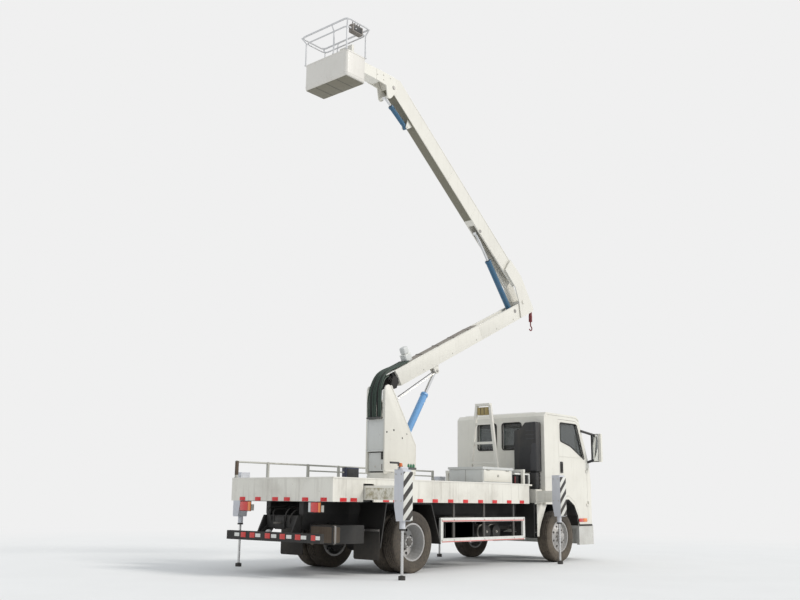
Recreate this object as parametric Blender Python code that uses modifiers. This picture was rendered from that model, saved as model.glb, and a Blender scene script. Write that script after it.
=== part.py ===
"""Cherry picker truck: a two-axle cab-over truck with a folding boom, a basket and four outriggers.

Metres, +Z up, +X forward, +Y to the left side. Sizes are given from the rear axle: X is 0 above the
axle and Z is 0 on the ground. ROOT shifts the truck so that its box is centred on the origin.
"""

import math

import bmesh
import bpy
from mathutils import Matrix, Vector

# Seats and running clearances
SEAT = 0.0003            # between pieces that rest on each other
PIN_GAP = 0.0008         # round a pin in its bore
RUN = 0.005              # between pieces that move past each other

# Overall layout
WHEELBASE = 4.60
REAR_END = -2.06         # rear face of the under-run bar
FRONT_END = 6.06         # front face of the bumper
DECK_HALF = 1.20
CAB_HALF = 1.11

# Wheels
TYRE_R = 0.50
TYRE_HALF = 0.13
RIM_R = 0.291
WHEEL_Y = 1.06           # middle of the outer tyres
TWIN_PITCH = 0.31        # outer to inner tyre of a twin pair
HUB_R = 0.055
WHEEL_SEGMENTS = 24
KINGPIN_Y = 0.86
KINGPIN_R = 0.02
AXLE_Z = TYRE_R

# Ladder frame
RAIL_IN = 0.36
RAIL_OUT = 0.43
RAIL_LOW = 0.70
RAIL_TOP = 0.94
RAIL_REAR = -1.80
RAIL_FRONT = 5.36
CROSS_MEMBERS = (-1.70, -0.75, 0.75, 2.00, 3.30, 5.30)

# Subframe and deck
SUB_TOP = 1.13           # top of the subframe's long beams, where the cross bearers begin
BEARERS = (-1.72, -0.45, 0.35, 1.15, 2.05, 3.00)
BEARER_HALF = 0.03
DECK_REAR = -1.92
DECK_FRONT = 3.46
DECK_STEP = 3.80         # front end of the plate that carries the boom rest
SKIRT_LOW = 1.137
DECK_TOP = 1.511
DECK_PLATE = 0.030
SKIRT = 0.030

# Side guards
GUARD_Y = DECK_HALF - 0.05
GUARD_REAR = 0.77
GUARD_FRONT = 3.37
GUARD_LOW = 0.47
GUARD_TOP = 0.885
GUARD_BAR = 0.07
GUARD_HANGERS = (1.15, 2.05, 3.00)

# Under-run bar and lamps
BAR_HALF = 1.10
BAR_LOW = 0.52
BAR_TOP = 0.66
BAR_DEPTH = 0.08
LAMP_Y = 0.82
LAMP_HALF = 0.14
LAMP_LOW = 0.98
LAMP_TOP = 1.08

# Railing on the left side of the deck
RAIL_TUBE = 0.016
RAIL_POSTS = (-1.86, -1.17, -0.21, 0.58, 1.55, 2.50, 3.40)
RAIL_Z = 1.78
MID_RAIL_Z = 1.68
MID_RAIL_FROM = 2        # index of the post where the lower rail begins

# Outriggers: columns are name, x of the leg, y of the leg, foot of the box, top of the box, travel
OUTRIGGERS = (
    ("rear", -1.12, 1.910, 0.86, 1.62, 0.61),
    ("front", 4.05, 1.500, 0.90, 1.68, 0.35),
)
LEG_HALF_X = 0.10
LEG_HALF_Y = 0.085
LEG_TAPER_Z = 0.22       # height of the slant at the foot of the box
LEG_TUBE_R = 0.045
LEG_TUBE_LENGTH = 0.12
LEG_BOARD = 0.012
LEG_SEGMENTS = 16
BEAM_HALF_X = 0.095
BEAM_LOW = 1.17
BEAM_TOP = 1.39
BEAM_ENGAGED = 0.42      # length of beam inside its housing as it stands
HOUSING_WALL = 0.025
HOUSING_END = {"rear": 1.12, "front": 1.05}
JACK_R = 0.022
JACK_TRAVEL = 0.62
JACK_TOP = 0.96
FOOT_R = 0.055
FOOT_H = 0.06

# Slewing turret: X is measured from the slewing axis
SLEW_X = 0.75
SLEW_R = 0.44
SLEW_TOP = 1.60
TURRET_REAR = -0.434
TURRET_FRONT = 0.425
TURRET_HALF = 0.23
TURRET_PLATE = 0.03
TURRET_FOOT = 1.66
TURRET_SHOULDER = 2.17   # where the front edge begins to slant back
TURRET_NOSE_R = 0.09
COVER_LOW = 2.02
COVER_TOP = 2.60
HOSE_BUNDLE_R = 0.05     # the bundle passes under the levelling cylinder when the upper boom is folded

# Lower boom: the frame's X runs along the boom from its pivot on the turret
BOOM_PIVOT = (-0.09, 3.33)
BOOM_ANGLE = 25.4
BOOM_HALF = 0.13
BOOM_DEPTH = 0.32
BOOM_END = 5.12
HEEL_REAR = 0.21
HEEL_PIN_R = 0.045
TROUGH_FROM = 3.00
TROUGH_TO = 4.738
TROUGH_HALF = 0.085
TROUGH_FLOOR = -0.06
CRADLE_X = 0.52
CRADLE_HALF = 0.16

# Upper boom: its frame's X runs from the elbow to the tip, Z to its outer side
ELBOW = (4.810, 0.152)   # in the lower boom's frame
FOLD = 63.2              # angle between the booms as it stands
UPPER_HALF = 0.10
UPPER_LOW = 0.053
UPPER_TOP = 0.439
UPPER_START = 0.42
FORK_PLATE = 0.02
CHANNEL_TO = 2.20        # the boom's underside is open from its root to here, for the folding cylinder
CHANNEL_HALF = 0.075
CHANNEL_TOP = 0.335
FORK_GAP = 0.006
ELBOW_PIN_R = 0.04
TIP_PIVOT = (5.656, 0.129)

# Cylinders: columns are name, barrel radius, rod radius, barrel length, eye radius
CYLINDERS = {
    "lift": (0.068, 0.036, 1.76, 0.045),
    "fold": (0.062, 0.032, 1.30, 0.045),
    "level": (0.045, 0.018, 0.55, 0.030),
}
LIFT_BASE = (-0.01, 1.72)        # on the turret, from the slewing axis
LIFT_EYE = (1.373, -0.280)       # on the lower boom
FOLD_BASE = (4.450, 0.050)       # on the lower boom
FOLD_EYE = (2.000, 0.060)       # on the upper boom
LEVEL_BASE = (4.869, -0.070)     # on the upper boom
LEVEL_EYE = (-0.130, -0.220)     # on the basket's arm
LUG_PLATE = 0.015
EYE_HALF = 0.038
CYLINDER_SEGMENTS = 16

# Basket: measured from the tip pivot in a level frame
ARM_LOW = 0.0
ARM_TOP = 0.23
ARM_PLATE = 0.02
ARM_WEB_X = -0.38
MAST_X = -1.18
MAST_PLATE = 0.06
BASKET_FRONT = -1.25
BASKET_DEPTH = 0.513
BASKET_HALF = 0.545
BASKET_LOW = -0.497
BASKET_RIM = 0.0
BASKET_TOP = 0.58
BASKET_WALL = 0.012
BASKET_TUBE = 0.016
BASKET_LOWER_RAIL = 0.45

# Hook under the elbow, in the lower boom's frame
HOOK_PIVOT = (5.25, -0.17)
HOOK_PIN_R = 0.012

# Cab: side outline as (x, z)
CAB_WALL = 0.05
CAB_REAR = 4.19
CAB_FLOOR = 1.27
CAB_OUTLINE = (
    (CAB_REAR, 1.13), (4.46, 1.13), (4.75, 1.19), (5.07, 1.21), (5.27, 1.10), (5.40, 0.90),
    (5.46, 0.70), (6.01, 0.70), (6.01, 1.60), (5.96, 1.95), (5.56, 2.92), (5.46, 2.98),
    (4.27, 2.98), (CAB_REAR, 2.90),
)
CAB_INSIDE = (
    (CAB_REAR + CAB_WALL, CAB_FLOOR), (5.20, CAB_FLOOR), (5.42, 1.15), (5.52, 1.00), (5.96, 1.00),
    (5.96, 1.59), (5.911, 1.94), (5.522, 2.88), (5.45, 2.93), (4.29, 2.93),
    (CAB_REAR + CAB_WALL, 2.88),
)
SCREEN_LOW = (5.96, 1.95)
SCREEN_HIGH = (5.56, 2.92)
SCREEN_POST = 0.13       # width of the posts beside the screen
SCREEN_HALF = CAB_HALF - SCREEN_POST
SCREEN_FROM = 0.06       # shares of the slope that the glass covers
SCREEN_TO = 0.90
REAR_WINDOW = (0.08, 0.55, 2.24, 2.78)
DOOR_OUTLINE = (
    (4.73, 1.28), (5.08, 1.30), (5.31, 1.18), (5.46, 0.95), (5.50, 0.80), (5.86, 0.80),
    (5.86, 1.95), (5.51, 2.81), (5.43, 2.87), (4.73, 2.87),
)
DOOR_WINDOW = ((4.80, 2.42), (5.20, 2.33), (5.76, 2.07), (5.46, 2.80), (4.80, 2.80))
DOOR_GAP = 0.006
DOOR_HINGE = (5.872, CAB_HALF + 0.014)
HINGE_R = 0.012
HINGE_HEIGHTS = (1.15, 1.85)

ROOT = Matrix.Translation((-(REAR_END + FRONT_END) / 2, 0, 0))
SIDES = (("left", 1), ("right", -1))

# Paints: columns are colour, roughness, metallic
PAINTS = {
    "cream_paint": ((0.80, 0.78, 0.70), 0.40, 0.0),
    "white_paint": ((0.85, 0.85, 0.83), 0.40, 0.0),
    "chassis_black": ((0.025, 0.025, 0.028), 0.60, 0.0),
    "rubber": ((0.045, 0.040, 0.036), 0.85, 0.0),
    "rim_grey": ((0.55, 0.55, 0.54), 0.40, 0.6),
    "chrome": ((0.80, 0.80, 0.80), 0.12, 1.0),
    "cylinder_blue": ((0.08, 0.30, 0.75), 0.35, 0.0),
    "cylinder_dark_blue": ((0.03, 0.16, 0.34), 0.40, 0.0),
    "hook_red": ((0.20, 0.01, 0.02), 0.50, 0.2),
    "hose_green": ((0.04, 0.09, 0.07), 0.70, 0.0),
    "glass": ((0.10, 0.13, 0.13), 0.05, 0.0),
    "cab_trim": ((0.06, 0.06, 0.065), 0.75, 0.0),
    "seat_cloth": ((0.09, 0.09, 0.10), 0.90, 0.0),
    "rail_grey": ((0.55, 0.56, 0.57), 0.40, 0.5),
}


def clear_scene():
    for obj in list(bpy.data.objects):
        bpy.data.objects.remove(obj, do_unlink=True)


def make_material(name):
    colour, roughness, metallic = PAINTS[name]
    mat = bpy.data.materials.new(name)
    mat.use_nodes = True
    shader = mat.node_tree.nodes["Principled BSDF"]
    shader.inputs["Base Color"].default_value = (*colour, 1.0)
    shader.inputs["Roughness"].default_value = roughness
    shader.inputs["Metallic"].default_value = metallic
    return mat


def new_object(mesh):
    obj = bpy.data.objects.new(mesh.name, mesh)
    PARTS.objects.link(obj)
    return obj


def from_bmesh(shape, hollow=False):
    """A new object from a bmesh; a hollow one keeps the way its inner faces look."""
    if not hollow:
        bmesh.ops.recalc_face_normals(shape, faces=shape.faces[:])
    mesh = bpy.data.meshes.new("shape")
    shape.to_mesh(mesh)
    shape.free()
    return new_object(mesh)


def box(low, high):
    """A block between two opposite corners."""
    low, high = Vector(low), Vector(high)
    size = high - low
    shape = bmesh.new()
    bmesh.ops.create_cube(shape, size=1.0)
    bmesh.ops.scale(shape, vec=size, verts=shape.verts)
    bmesh.ops.translate(shape, vec=(low + high) / 2, verts=shape.verts)
    return from_bmesh(shape)


def rod(start, end, radius, sides=CYLINDER_SEGMENTS, end_radius=None):
    """A round bar, or a cone, from one point to another."""
    start, end = Vector(start), Vector(end)
    along = end - start
    shape = bmesh.new()
    bmesh.ops.create_cone(shape, cap_ends=True, segments=sides, radius1=radius,
                          radius2=radius if end_radius is None else end_radius, depth=along.length)
    turn = along.to_track_quat("Z", "Y").to_matrix().to_4x4()
    bmesh.ops.transform(shape, matrix=Matrix.Translation((start + end) / 2) @ turn, verts=shape.verts)
    return from_bmesh(shape)


def to_mesh(obj, hollow=False):
    """Swap a curve or a modified object for the plain mesh that it shows."""
    graph = bpy.context.evaluated_depsgraph_get()
    mesh = bpy.data.meshes.new_from_object(obj.evaluated_get(graph))
    shape = bmesh.new()
    shape.from_mesh(mesh)
    bmesh.ops.remove_doubles(shape, verts=shape.verts, dist=1e-5)
    bmesh.ops.transform(shape, matrix=obj.matrix_world, verts=shape.verts)
    bpy.data.objects.remove(obj, do_unlink=True)
    return from_bmesh(shape, hollow)


PLANES = {
    "X": Matrix(((0, 0, 1, 0), (1, 0, 0, 0), (0, 1, 0, 0), (0, 0, 0, 1))),
    "Y": Matrix(((1, 0, 0, 0), (0, 0, 1, 0), (0, 1, 0, 0), (0, 0, 0, 1))),
    "Z": Matrix.Identity(4),
}


def prism(outline, axis, low, high):
    """A flat outline, extruded between two values along an axis.

    The outline's two columns are (y, z) along X, (x, z) along Y and (x, y) along Z.
    """
    curve = bpy.data.curves.new("outline", "CURVE")
    curve.dimensions = "2D"
    curve.fill_mode = "BOTH"
    curve.extrude = (high - low) / 2
    spline = curve.splines.new("POLY")
    spline.points.add(len(outline) - 1)
    for point, (u, v) in zip(spline.points, outline):
        point.co = (u, v, 0, 1)
    spline.use_cyclic_u = True
    obj = bpy.data.objects.new("outline", curve)
    PARTS.objects.link(obj)
    obj.matrix_world = PLANES[axis] @ Matrix.Translation((0, 0, (low + high) / 2))
    bpy.context.view_layer.update()
    return to_mesh(obj)


def tube(points, radius, closed=False, fineness=1):
    """A round tube or a hose along a line of points."""
    curve = bpy.data.curves.new("tube", "CURVE")
    curve.dimensions = "3D"
    curve.bevel_depth = radius
    curve.bevel_resolution = fineness
    curve.use_fill_caps = True
    spline = curve.splines.new("POLY")
    spline.points.add(len(points) - 1)
    for point, place in zip(spline.points, points):
        point.co = (*place, 1)
    spline.use_cyclic_u = closed
    obj = bpy.data.objects.new("tube", curve)
    PARTS.objects.link(obj)
    bpy.context.view_layer.update()
    return to_mesh(obj)


def turned(profile, segments=WHEEL_SEGMENTS, axis="Z"):
    """A closed profile of (radius, height) points, turned about Z, or about Y for a wheel."""
    shape = bmesh.new()
    verts = [shape.verts.new((radius, 0, height)) for radius, height in profile]
    for first, second in zip(verts, verts[1:] + verts[:1]):
        if first.co.x > 0 or second.co.x > 0:
            shape.edges.new((first, second))
    mesh = bpy.data.meshes.new("profile")
    shape.to_mesh(mesh)
    shape.free()
    obj = new_object(mesh)
    screw = obj.modifiers.new("Screw", "SCREW")
    screw.steps = segments
    screw.render_steps = segments
    screw.use_merge_vertices = True
    screw.merge_threshold = 0.0001
    if axis == "Y":
        obj.matrix_world = Matrix.Rotation(-math.pi / 2, 4, "X")
    bpy.context.view_layer.update()
    return to_mesh(obj)


def combine(base, others, operation):
    for other in others:
        modifier = base.modifiers.new(operation, "BOOLEAN")
        modifier.operation = operation
        modifier.object = other
    bpy.context.view_layer.update()
    result = to_mesh(base, hollow=True)
    for other in others:
        bpy.data.objects.remove(other, do_unlink=True)
    return result


def fuse(*pieces):
    return combine(pieces[0], pieces[1:], "UNION")


def cut(base, *cutters):
    return combine(base, cutters, "DIFFERENCE")


def part(name, obj, frame, paint, smooth=35):
    """Name a finished shape, place it in its frame and give it its paint."""
    obj.name = name
    obj.data.name = name
    obj.matrix_world = frame
    obj.data.materials.clear()
    obj.data.materials.append(MATERIALS[paint])
    obj.data.shade_smooth()
    obj.data.set_sharp_from_angle(angle=math.radians(smooth))
    return obj


def shift(x=0.0, y=0.0, z=0.0):
    return Matrix.Translation((x, y, z))


def pitch(degrees):
    """A turn in the XZ plane that lifts the frame's X axis by an angle."""
    return Matrix.Rotation(-math.radians(degrees), 4, "Y")


def arc(centre, radius, start, end, steps):
    """Points of an arc in a flat outline, angles in degrees."""
    turn = [math.radians(start + (end - start) * i / steps) for i in range(steps + 1)]
    return [(centre[0] + radius * math.cos(a), centre[1] + radius * math.sin(a)) for a in turn]


def mirrored(point, side):
    return (point[0], point[1] * side, point[2])


def side_box(low, high, side):
    """A block given for the left side, or its mirror image on the right."""
    y0, y1 = sorted((low[1] * side, high[1] * side))
    return box((low[0], y0, low[2]), (high[0], y1, high[2]))


def side_prism(outline, low, high, side):
    y0, y1 = sorted((low * side, high * side))
    return prism(outline, "Y", y0, y1)


TURRET = ROOT @ shift(SLEW_X)
LOWER = TURRET @ shift(BOOM_PIVOT[0], 0, BOOM_PIVOT[1]) @ pitch(BOOM_ANGLE)
UPPER = LOWER @ shift(ELBOW[0], 0, ELBOW[1]) @ pitch(180 - FOLD) @ Matrix.Rotation(math.pi, 4, "X")
TIP = UPPER @ shift(TIP_PIVOT[0], 0, TIP_PIVOT[1])
LEVEL = shift(*TIP.to_translation())


def make_frame():
    pieces = []
    for _, side in SIDES:
        pieces.append(side_box((RAIL_REAR, RAIL_IN, RAIL_LOW), (RAIL_FRONT, RAIL_OUT, RAIL_TOP), side))
    for x in CROSS_MEMBERS:
        pieces.append(box((x - 0.04, -RAIL_IN - 0.02, RAIL_LOW + 0.05), (x + 0.04, RAIL_IN + 0.02, RAIL_TOP - 0.05)))
    for x, top in CAB_MOUNTS:
        for _, side in SIDES:
            pieces.append(side_box((x - 0.04, RAIL_IN + 0.005, RAIL_TOP - 0.03), (x + 0.04, RAIL_OUT - 0.005, top - SEAT), side))
    for x in AIR_TANKS:
        pieces.append(rod((x, -RAIL_OUT + 0.03, 0.62), (x, -GUARD_Y + 0.17, 0.62), AIR_TANK_R))
    for low, high, hangers in RIGHT_BOXES:
        pieces.append(box(low, high))
        for x in hangers:
            pieces.append(box((x - 0.04, high[1] - 0.02, high[2] - 0.06), (x + 0.04, -RAIL_IN - 0.02, high[2] + 0.03)))
    part("frame", fuse(*pieces), ROOT, "chassis_black")


AIR_TANKS = (2.35, 2.66)
AIR_TANK_R = 0.125
RIGHT_BOXES = (          # silencer and battery box on the right rail, and where they hang
    ((-1.75, -GUARD_Y + 0.10, 0.50), (-1.05, -0.55, 0.78), (-1.60, -1.20)),
    ((1.02, -GUARD_Y + 0.11, 0.50), (1.86, -0.60, 0.88), (1.18, 1.70)),
)
CAB_MOUNTS = ((4.28, 1.13), (5.14, 1.149))


def make_engine():
    block = box((4.40, -RAIL_IN + SEAT, AXLE_Z + 0.12), (5.20, RAIL_IN - SEAT, 1.10))
    gearbox = rod((4.45, 0, 0.80), (3.70, 0, 0.78), 0.20, 12, 0.14)
    part("engine", fuse(block, gearbox), ROOT, "chassis_black")


def leaf_spring(x, side):
    """A leaf pack under its rail, with its two hangers."""
    outline = [(x - 0.62, 0.640), (x - 0.62, RAIL_LOW - SEAT), (x - 0.56, RAIL_LOW - SEAT), (x - 0.54, 0.655),
               (x - 0.28, 0.612), (x, 0.600), (x + 0.28, 0.612), (x + 0.54, 0.655),
               (x + 0.56, RAIL_LOW - SEAT), (x + 0.62, RAIL_LOW - SEAT), (x + 0.62, 0.640),
               (x + 0.28, 0.560), (x, 0.545), (x - 0.28, 0.560)]
    return side_prism(outline, RAIL_IN + 0.005, RAIL_OUT - 0.005, side)


def make_rear_axle():
    pieces = [rod((0, -0.62, AXLE_Z), (0, 0.62, AXLE_Z), 0.075),
              rod((0, -0.20, AXLE_Z), (0, 0.20, AXLE_Z), 0.19, 16),
              rod((0, -WHEEL_Y + 0.006, AXLE_Z), (0, WHEEL_Y - 0.006, AXLE_Z), HUB_R, WHEEL_SEGMENTS)]
    for _, side in SIDES:
        pieces.append(leaf_spring(0.0, side))
        pieces.append(rod((0, side * 0.60, AXLE_Z), (0, side * 0.62, AXLE_Z), 0.20, 20))
    part("rear_axle", fuse(*pieces), ROOT, "chassis_black")


def make_front_axle():
    x = WHEELBASE
    beam = box((x - 0.045, -0.80, AXLE_Z - 0.05), (x + 0.045, 0.80, AXLE_Z + 0.05))
    pieces = [beam]
    bores = []
    for _, side in SIDES:
        pieces.append(leaf_spring(x, side))
        pieces.append(rod((x, side * KINGPIN_Y, AXLE_Z - 0.075), (x, side * KINGPIN_Y, AXLE_Z + 0.075), 0.045))
        pieces.append(side_box((x - 0.035, 0.78, AXLE_Z - 0.04), (x + 0.035, KINGPIN_Y, AXLE_Z + 0.04), side))
        bores.append(rod((x, side * KINGPIN_Y, AXLE_Z - 0.1), (x, side * KINGPIN_Y, AXLE_Z + 0.1),
                         KINGPIN_R + PIN_GAP))
    part("front_axle", cut(fuse(*pieces), *bores), ROOT, "chassis_black")


def make_knuckle(name, side):
    """The steering knuckle: a fork over the axle's end, its kingpin and the wheel's spindle."""
    out = 0.052
    pieces = [side_box((-0.06, out, -0.12), (0.06, out + 0.035, 0.12), side),
              rod((0, 0, -0.115), (0, 0, 0.115), KINGPIN_R),
              rod((0, side * (out + 0.02), 0), (0, side * (WHEEL_Y - KINGPIN_Y + 0.12), 0), HUB_R, WHEEL_SEGMENTS)]
    for low, high in ((-0.12, -0.08), (0.08, 0.12)):
        pieces.append(side_box((-0.045, -0.045, low), (0.045, out + 0.02, high), side))
    frame = ROOT @ shift(WHEELBASE, side * KINGPIN_Y, AXLE_Z)
    part("knuckle_" + name, fuse(*pieces), frame, "chassis_black")


TYRE_PROFILE = (
    (TYRE_R, -0.100), (TYRE_R, 0.100), (TYRE_R - 0.040, TYRE_HALF), (0.37, TYRE_HALF + 0.004),
    (0.320, 0.115), (0.312, 0.100), (RIM_R, 0.100), (RIM_R, -0.100), (0.312, -0.100), (0.320, -0.115),
    (0.37, -TYRE_HALF - 0.004), (TYRE_R - 0.040, -TYRE_HALF),
)
FLANGE_R = 0.308
BEAD = 0.100 + SEAT
SEAT_R = RIM_R - SEAT
BORE_R = HUB_R + PIN_GAP
FRONT_RIM = (
    (FLANGE_R, BEAD), (FLANGE_R, 0.112), (0.282, 0.112), (0.262, 0.058), (0.150, 0.104), (0.100, 0.112),
    (0.090, 0.155), (0.0, 0.155), (0.0, 0.127), (BORE_R, 0.127), (BORE_R, 0.050), (0.110, 0.060),
    (0.150, 0.080), (0.252, 0.030), (0.280, -0.112), (FLANGE_R, -0.112), (FLANGE_R, -BEAD),
    (SEAT_R, -BEAD), (SEAT_R, BEAD),
)
REAR_RIM = (
    (FLANGE_R, BEAD), (FLANGE_R, 0.112), (0.282, 0.112), (0.240, -0.088), (0.150, -0.108), (0.105, -0.100),
    (0.095, 0.030), (0.0, 0.030), (0.0, 0.0), (BORE_R, 0.0), (BORE_R, -0.200), (0.100, -0.200),
    (0.100, -0.150), (0.255, -0.165), (0.272, -0.422), (FLANGE_R, -0.422), (FLANGE_R, -0.410 - SEAT),
    (SEAT_R, -0.410 - SEAT), (SEAT_R, -0.210 + SEAT), (FLANGE_R, -0.210 + SEAT), (FLANGE_R, -BEAD),
    (SEAT_R, -BEAD), (SEAT_R, BEAD),
)
VENT_HOLES = 8
VENT_R = 0.026
VENT_CIRCLE = 0.205


def sided(profile, side):
    return [(radius, height * side) for radius, height in profile]


def make_wheel(end, name, side):
    """The tyre or the twin tyres of one corner, and their rim with its ring of vent holes."""
    x = WHEELBASE if end == "front" else 0.0
    frame = ROOT @ shift(x, side * WHEEL_Y, AXLE_Z)
    profile = FRONT_RIM if end == "front" else REAR_RIM
    low, high = (0.02, 0.13) if end == "front" else (-0.18, -0.05)
    rim = turned(sided(profile, side), axis="Y")
    cutters = []
    for i in range(VENT_HOLES):
        turn = 2 * math.pi * (i + 0.5) / VENT_HOLES
        across, up = VENT_CIRCLE * math.cos(turn), VENT_CIRCLE * math.sin(turn)
        cutters.append(rod((across, side * low, up), (across, side * high, up), VENT_R, 6))
    part("rim_%s_%s" % (end, name), cut(rim, *cutters), frame, "rim_grey")
    part("tyre_%s_%s" % (end, name), turned(TYRE_PROFILE, axis="Y"), frame, "rubber")
    if end == "rear":
        inner = frame @ shift(0, -side * TWIN_PITCH, 0)
        part("tyre_rear_inner_%s" % name, turned(TYRE_PROFILE, axis="Y"), inner, "rubber")


def make_subframe():
    """Long beams, cross bearers, both outrigger housings, the mudguards and the slewing pedestal."""
    pieces = []
    for _, side in SIDES:
        pieces.append(side_box((RAIL_REAR, RAIL_IN - 0.02, RAIL_TOP + SEAT), (3.97, RAIL_OUT + 0.01, SUB_TOP + 0.01), side))
    for x in BEARERS:
        pieces.append(box((x - BEARER_HALF, -DECK_HALF + SKIRT + SEAT, SUB_TOP),
                          (x + BEARER_HALF, DECK_HALF - SKIRT - SEAT, DECK_TOP - DECK_PLATE - SEAT)))
    pieces.append(box((3.70, -0.95, SUB_TOP), (DECK_STEP, 0.95, DECK_TOP - DECK_PLATE - SEAT)))
    pieces.append(rod((SLEW_X, 0, SUB_TOP - 0.02), (SLEW_X, 0, SLEW_TOP), SLEW_R, 28))
    for name, x, _, _, _, _ in OUTRIGGERS:
        end = HOUSING_END[name]
        grow = HOUSING_WALL + RUN
        pieces.append(box((x - BEAM_HALF_X - grow, -end, BEAM_LOW - grow - 0.002),
                          (x + BEAM_HALF_X + grow, end, BEAM_TOP + grow)))
        if name == "front":
            for _, side in SIDES:
                pieces.append(side_box((x - 0.10, RAIL_IN + 0.01, RAIL_TOP + SEAT), (x + 0.10, RAIL_OUT - 0.01, BEAM_LOW), side))
                pieces.append(front_mudguard(x, side))
    for _, side in SIDES:
        pieces.append(rear_mudguard(side))
    body = fuse(*pieces)
    bores = []
    for name, x, _, _, _, _ in OUTRIGGERS:
        mouth = HOUSING_END[name] - 0.06
        bores.append(box((x - BEAM_HALF_X - RUN, -mouth, BEAM_LOW - RUN), (x + BEAM_HALF_X + RUN, mouth, BEAM_TOP + RUN)))
        bores.append(box((x - BEAM_HALF_X - SEAT, -2, BEAM_LOW - SEAT), (x + BEAM_HALF_X + SEAT, 2, BEAM_TOP + SEAT)))
    part("subframe", cut(body, *bores), ROOT, "chassis_black")


def front_mudguard(x, side):
    """The panel behind a front wheel, hung under the housing by its bent top edge."""
    outline = [(x - 0.19, 0.50), (x - 0.19, 1.155), (x - 0.02, 1.155), (x - 0.02, 1.135), (x - 0.165, 1.120), (x - 0.165, 0.50)]
    return side_prism(outline, 0.62, HOUSING_END["front"] - 0.01, side)


def rear_mudguard(side):
    """A folded plate over the twin tyres, under the deck."""
    outer = [(-0.80, 0.42), (-0.66, SUB_TOP + 0.004), (0.50, SUB_TOP + 0.004), (0.757, 0.45)]
    inner = [(0.729, 0.45), (0.485, SUB_TOP - 0.020), (-0.645, SUB_TOP - 0.020), (-0.772, 0.42)]
    return side_prism(outer + inner, 0.60, DECK_HALF - 0.035, side)


def make_deck():
    """The platform: a top plate with skirts all round, open for the outriggers and the slewing pedestal."""
    body = cut(box((DECK_REAR, -DECK_HALF, SKIRT_LOW), (DECK_FRONT, DECK_HALF, DECK_TOP)),
               box((DECK_REAR + SKIRT, -DECK_HALF + SKIRT, SKIRT_LOW - 0.1),
                   (DECK_FRONT - SKIRT, DECK_HALF - SKIRT, DECK_TOP - DECK_PLATE)))
    step_half = DECK_HALF - 0.15
    step = box((DECK_FRONT - 0.02, -step_half, DECK_TOP - DECK_PLATE), (DECK_STEP, step_half, DECK_TOP))
    lamps = []
    for _, side in SIDES:
        lamps.append(side_box((DECK_REAR + 0.004, LAMP_Y - LAMP_HALF, LAMP_LOW), (DECK_REAR + 0.06, LAMP_Y + LAMP_HALF, LAMP_TOP), side))
        lamps.append(side_box((DECK_REAR + 0.008, LAMP_Y - 0.02, LAMP_TOP - 0.01), (DECK_REAR + 0.025, LAMP_Y + 0.02, SKIRT_LOW + 0.02), side))
    x = OUTRIGGERS[0][1]
    bay = BEAM_HALF_X + HOUSING_WALL + RUN + SEAT
    cutters = [box((x - bay, -2, SKIRT_LOW - 0.1), (x + bay, 2, BEAM_TOP + HOUSING_WALL + RUN + SEAT)),
               rod((SLEW_X, 0, 1), (SLEW_X, 0, 2), SLEW_R + 0.002, 28),
               box((DECK_FRONT - 0.2, -RAIL_OUT - 0.02, SKIRT_LOW - 0.1), (DECK_FRONT + 0.1, RAIL_OUT + 0.02, SUB_TOP + 0.02))]
    part("deck", cut(fuse(body, step, *lamps), *cutters), ROOT, "cream_paint")


def make_railing():
    y = DECK_HALF - 0.03
    foot = DECK_TOP + SEAT
    pieces = [rod((RAIL_POSTS[0], y, RAIL_Z), (RAIL_POSTS[-1], y, RAIL_Z), RAIL_TUBE, 8),
              rod((RAIL_POSTS[MID_RAIL_FROM], y, MID_RAIL_Z), (RAIL_POSTS[-1], y, MID_RAIL_Z), RAIL_TUBE * 0.8, 8)]
    for x in RAIL_POSTS:
        pieces.append(box((x - 0.02, y - 0.02, foot), (x + 0.02, y + 0.02, RAIL_Z + 0.01)))
    part("railing", fuse(*pieces), ROOT, "rail_grey")


def make_side_guard(name, side):
    y0, y1 = GUARD_Y - 0.04, GUARD_Y
    outer = side_box((GUARD_REAR, y0, GUARD_LOW), (GUARD_FRONT, y1, GUARD_TOP), side)
    window = side_box((GUARD_REAR + GUARD_BAR, 0.5, GUARD_LOW + GUARD_BAR), (GUARD_FRONT - GUARD_BAR, 2, GUARD_TOP - GUARD_BAR), side)
    frame = cut(outer, window)
    hangers = [side_box((x - 0.025, y0 + 0.003, GUARD_LOW + 0.02), (x + 0.025, y1 - 0.008, SUB_TOP - SEAT), side) for x in GUARD_HANGERS]
    part("side_guard_" + name, fuse(frame, *hangers), ROOT, "white_paint")


def make_underrun_bar():
    pieces = [box((REAR_END, -BAR_HALF, BAR_LOW), (REAR_END + BAR_DEPTH, BAR_HALF, BAR_TOP))]
    for _, side in SIDES:
        outline = [(REAR_END + 0.05, BAR_LOW + 0.02), (REAR_END + 0.05, BAR_TOP - 0.02), (RAIL_REAR - 0.08, RAIL_TOP - 0.02),
                   (RAIL_REAR - SEAT, RAIL_TOP - 0.02), (RAIL_REAR - SEAT, RAIL_LOW + 0.02), (RAIL_REAR - 0.06, BAR_LOW + 0.02)]
        pieces.append(side_prism(outline, RAIL_IN + 0.02, RAIL_OUT - 0.02, side))
    part("underrun_bar", fuse(*pieces), ROOT, "chassis_black")


def make_fuel_tank():
    body = box((1.35, RAIL_OUT + SEAT, 0.50), (2.60, GUARD_Y - 0.17, 0.93))
    bevel = body.modifiers.new("Bevel", "BEVEL")
    bevel.width = 0.05
    bevel.segments = 2
    part("fuel_tank", to_mesh(body), ROOT, "chassis_black")


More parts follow.
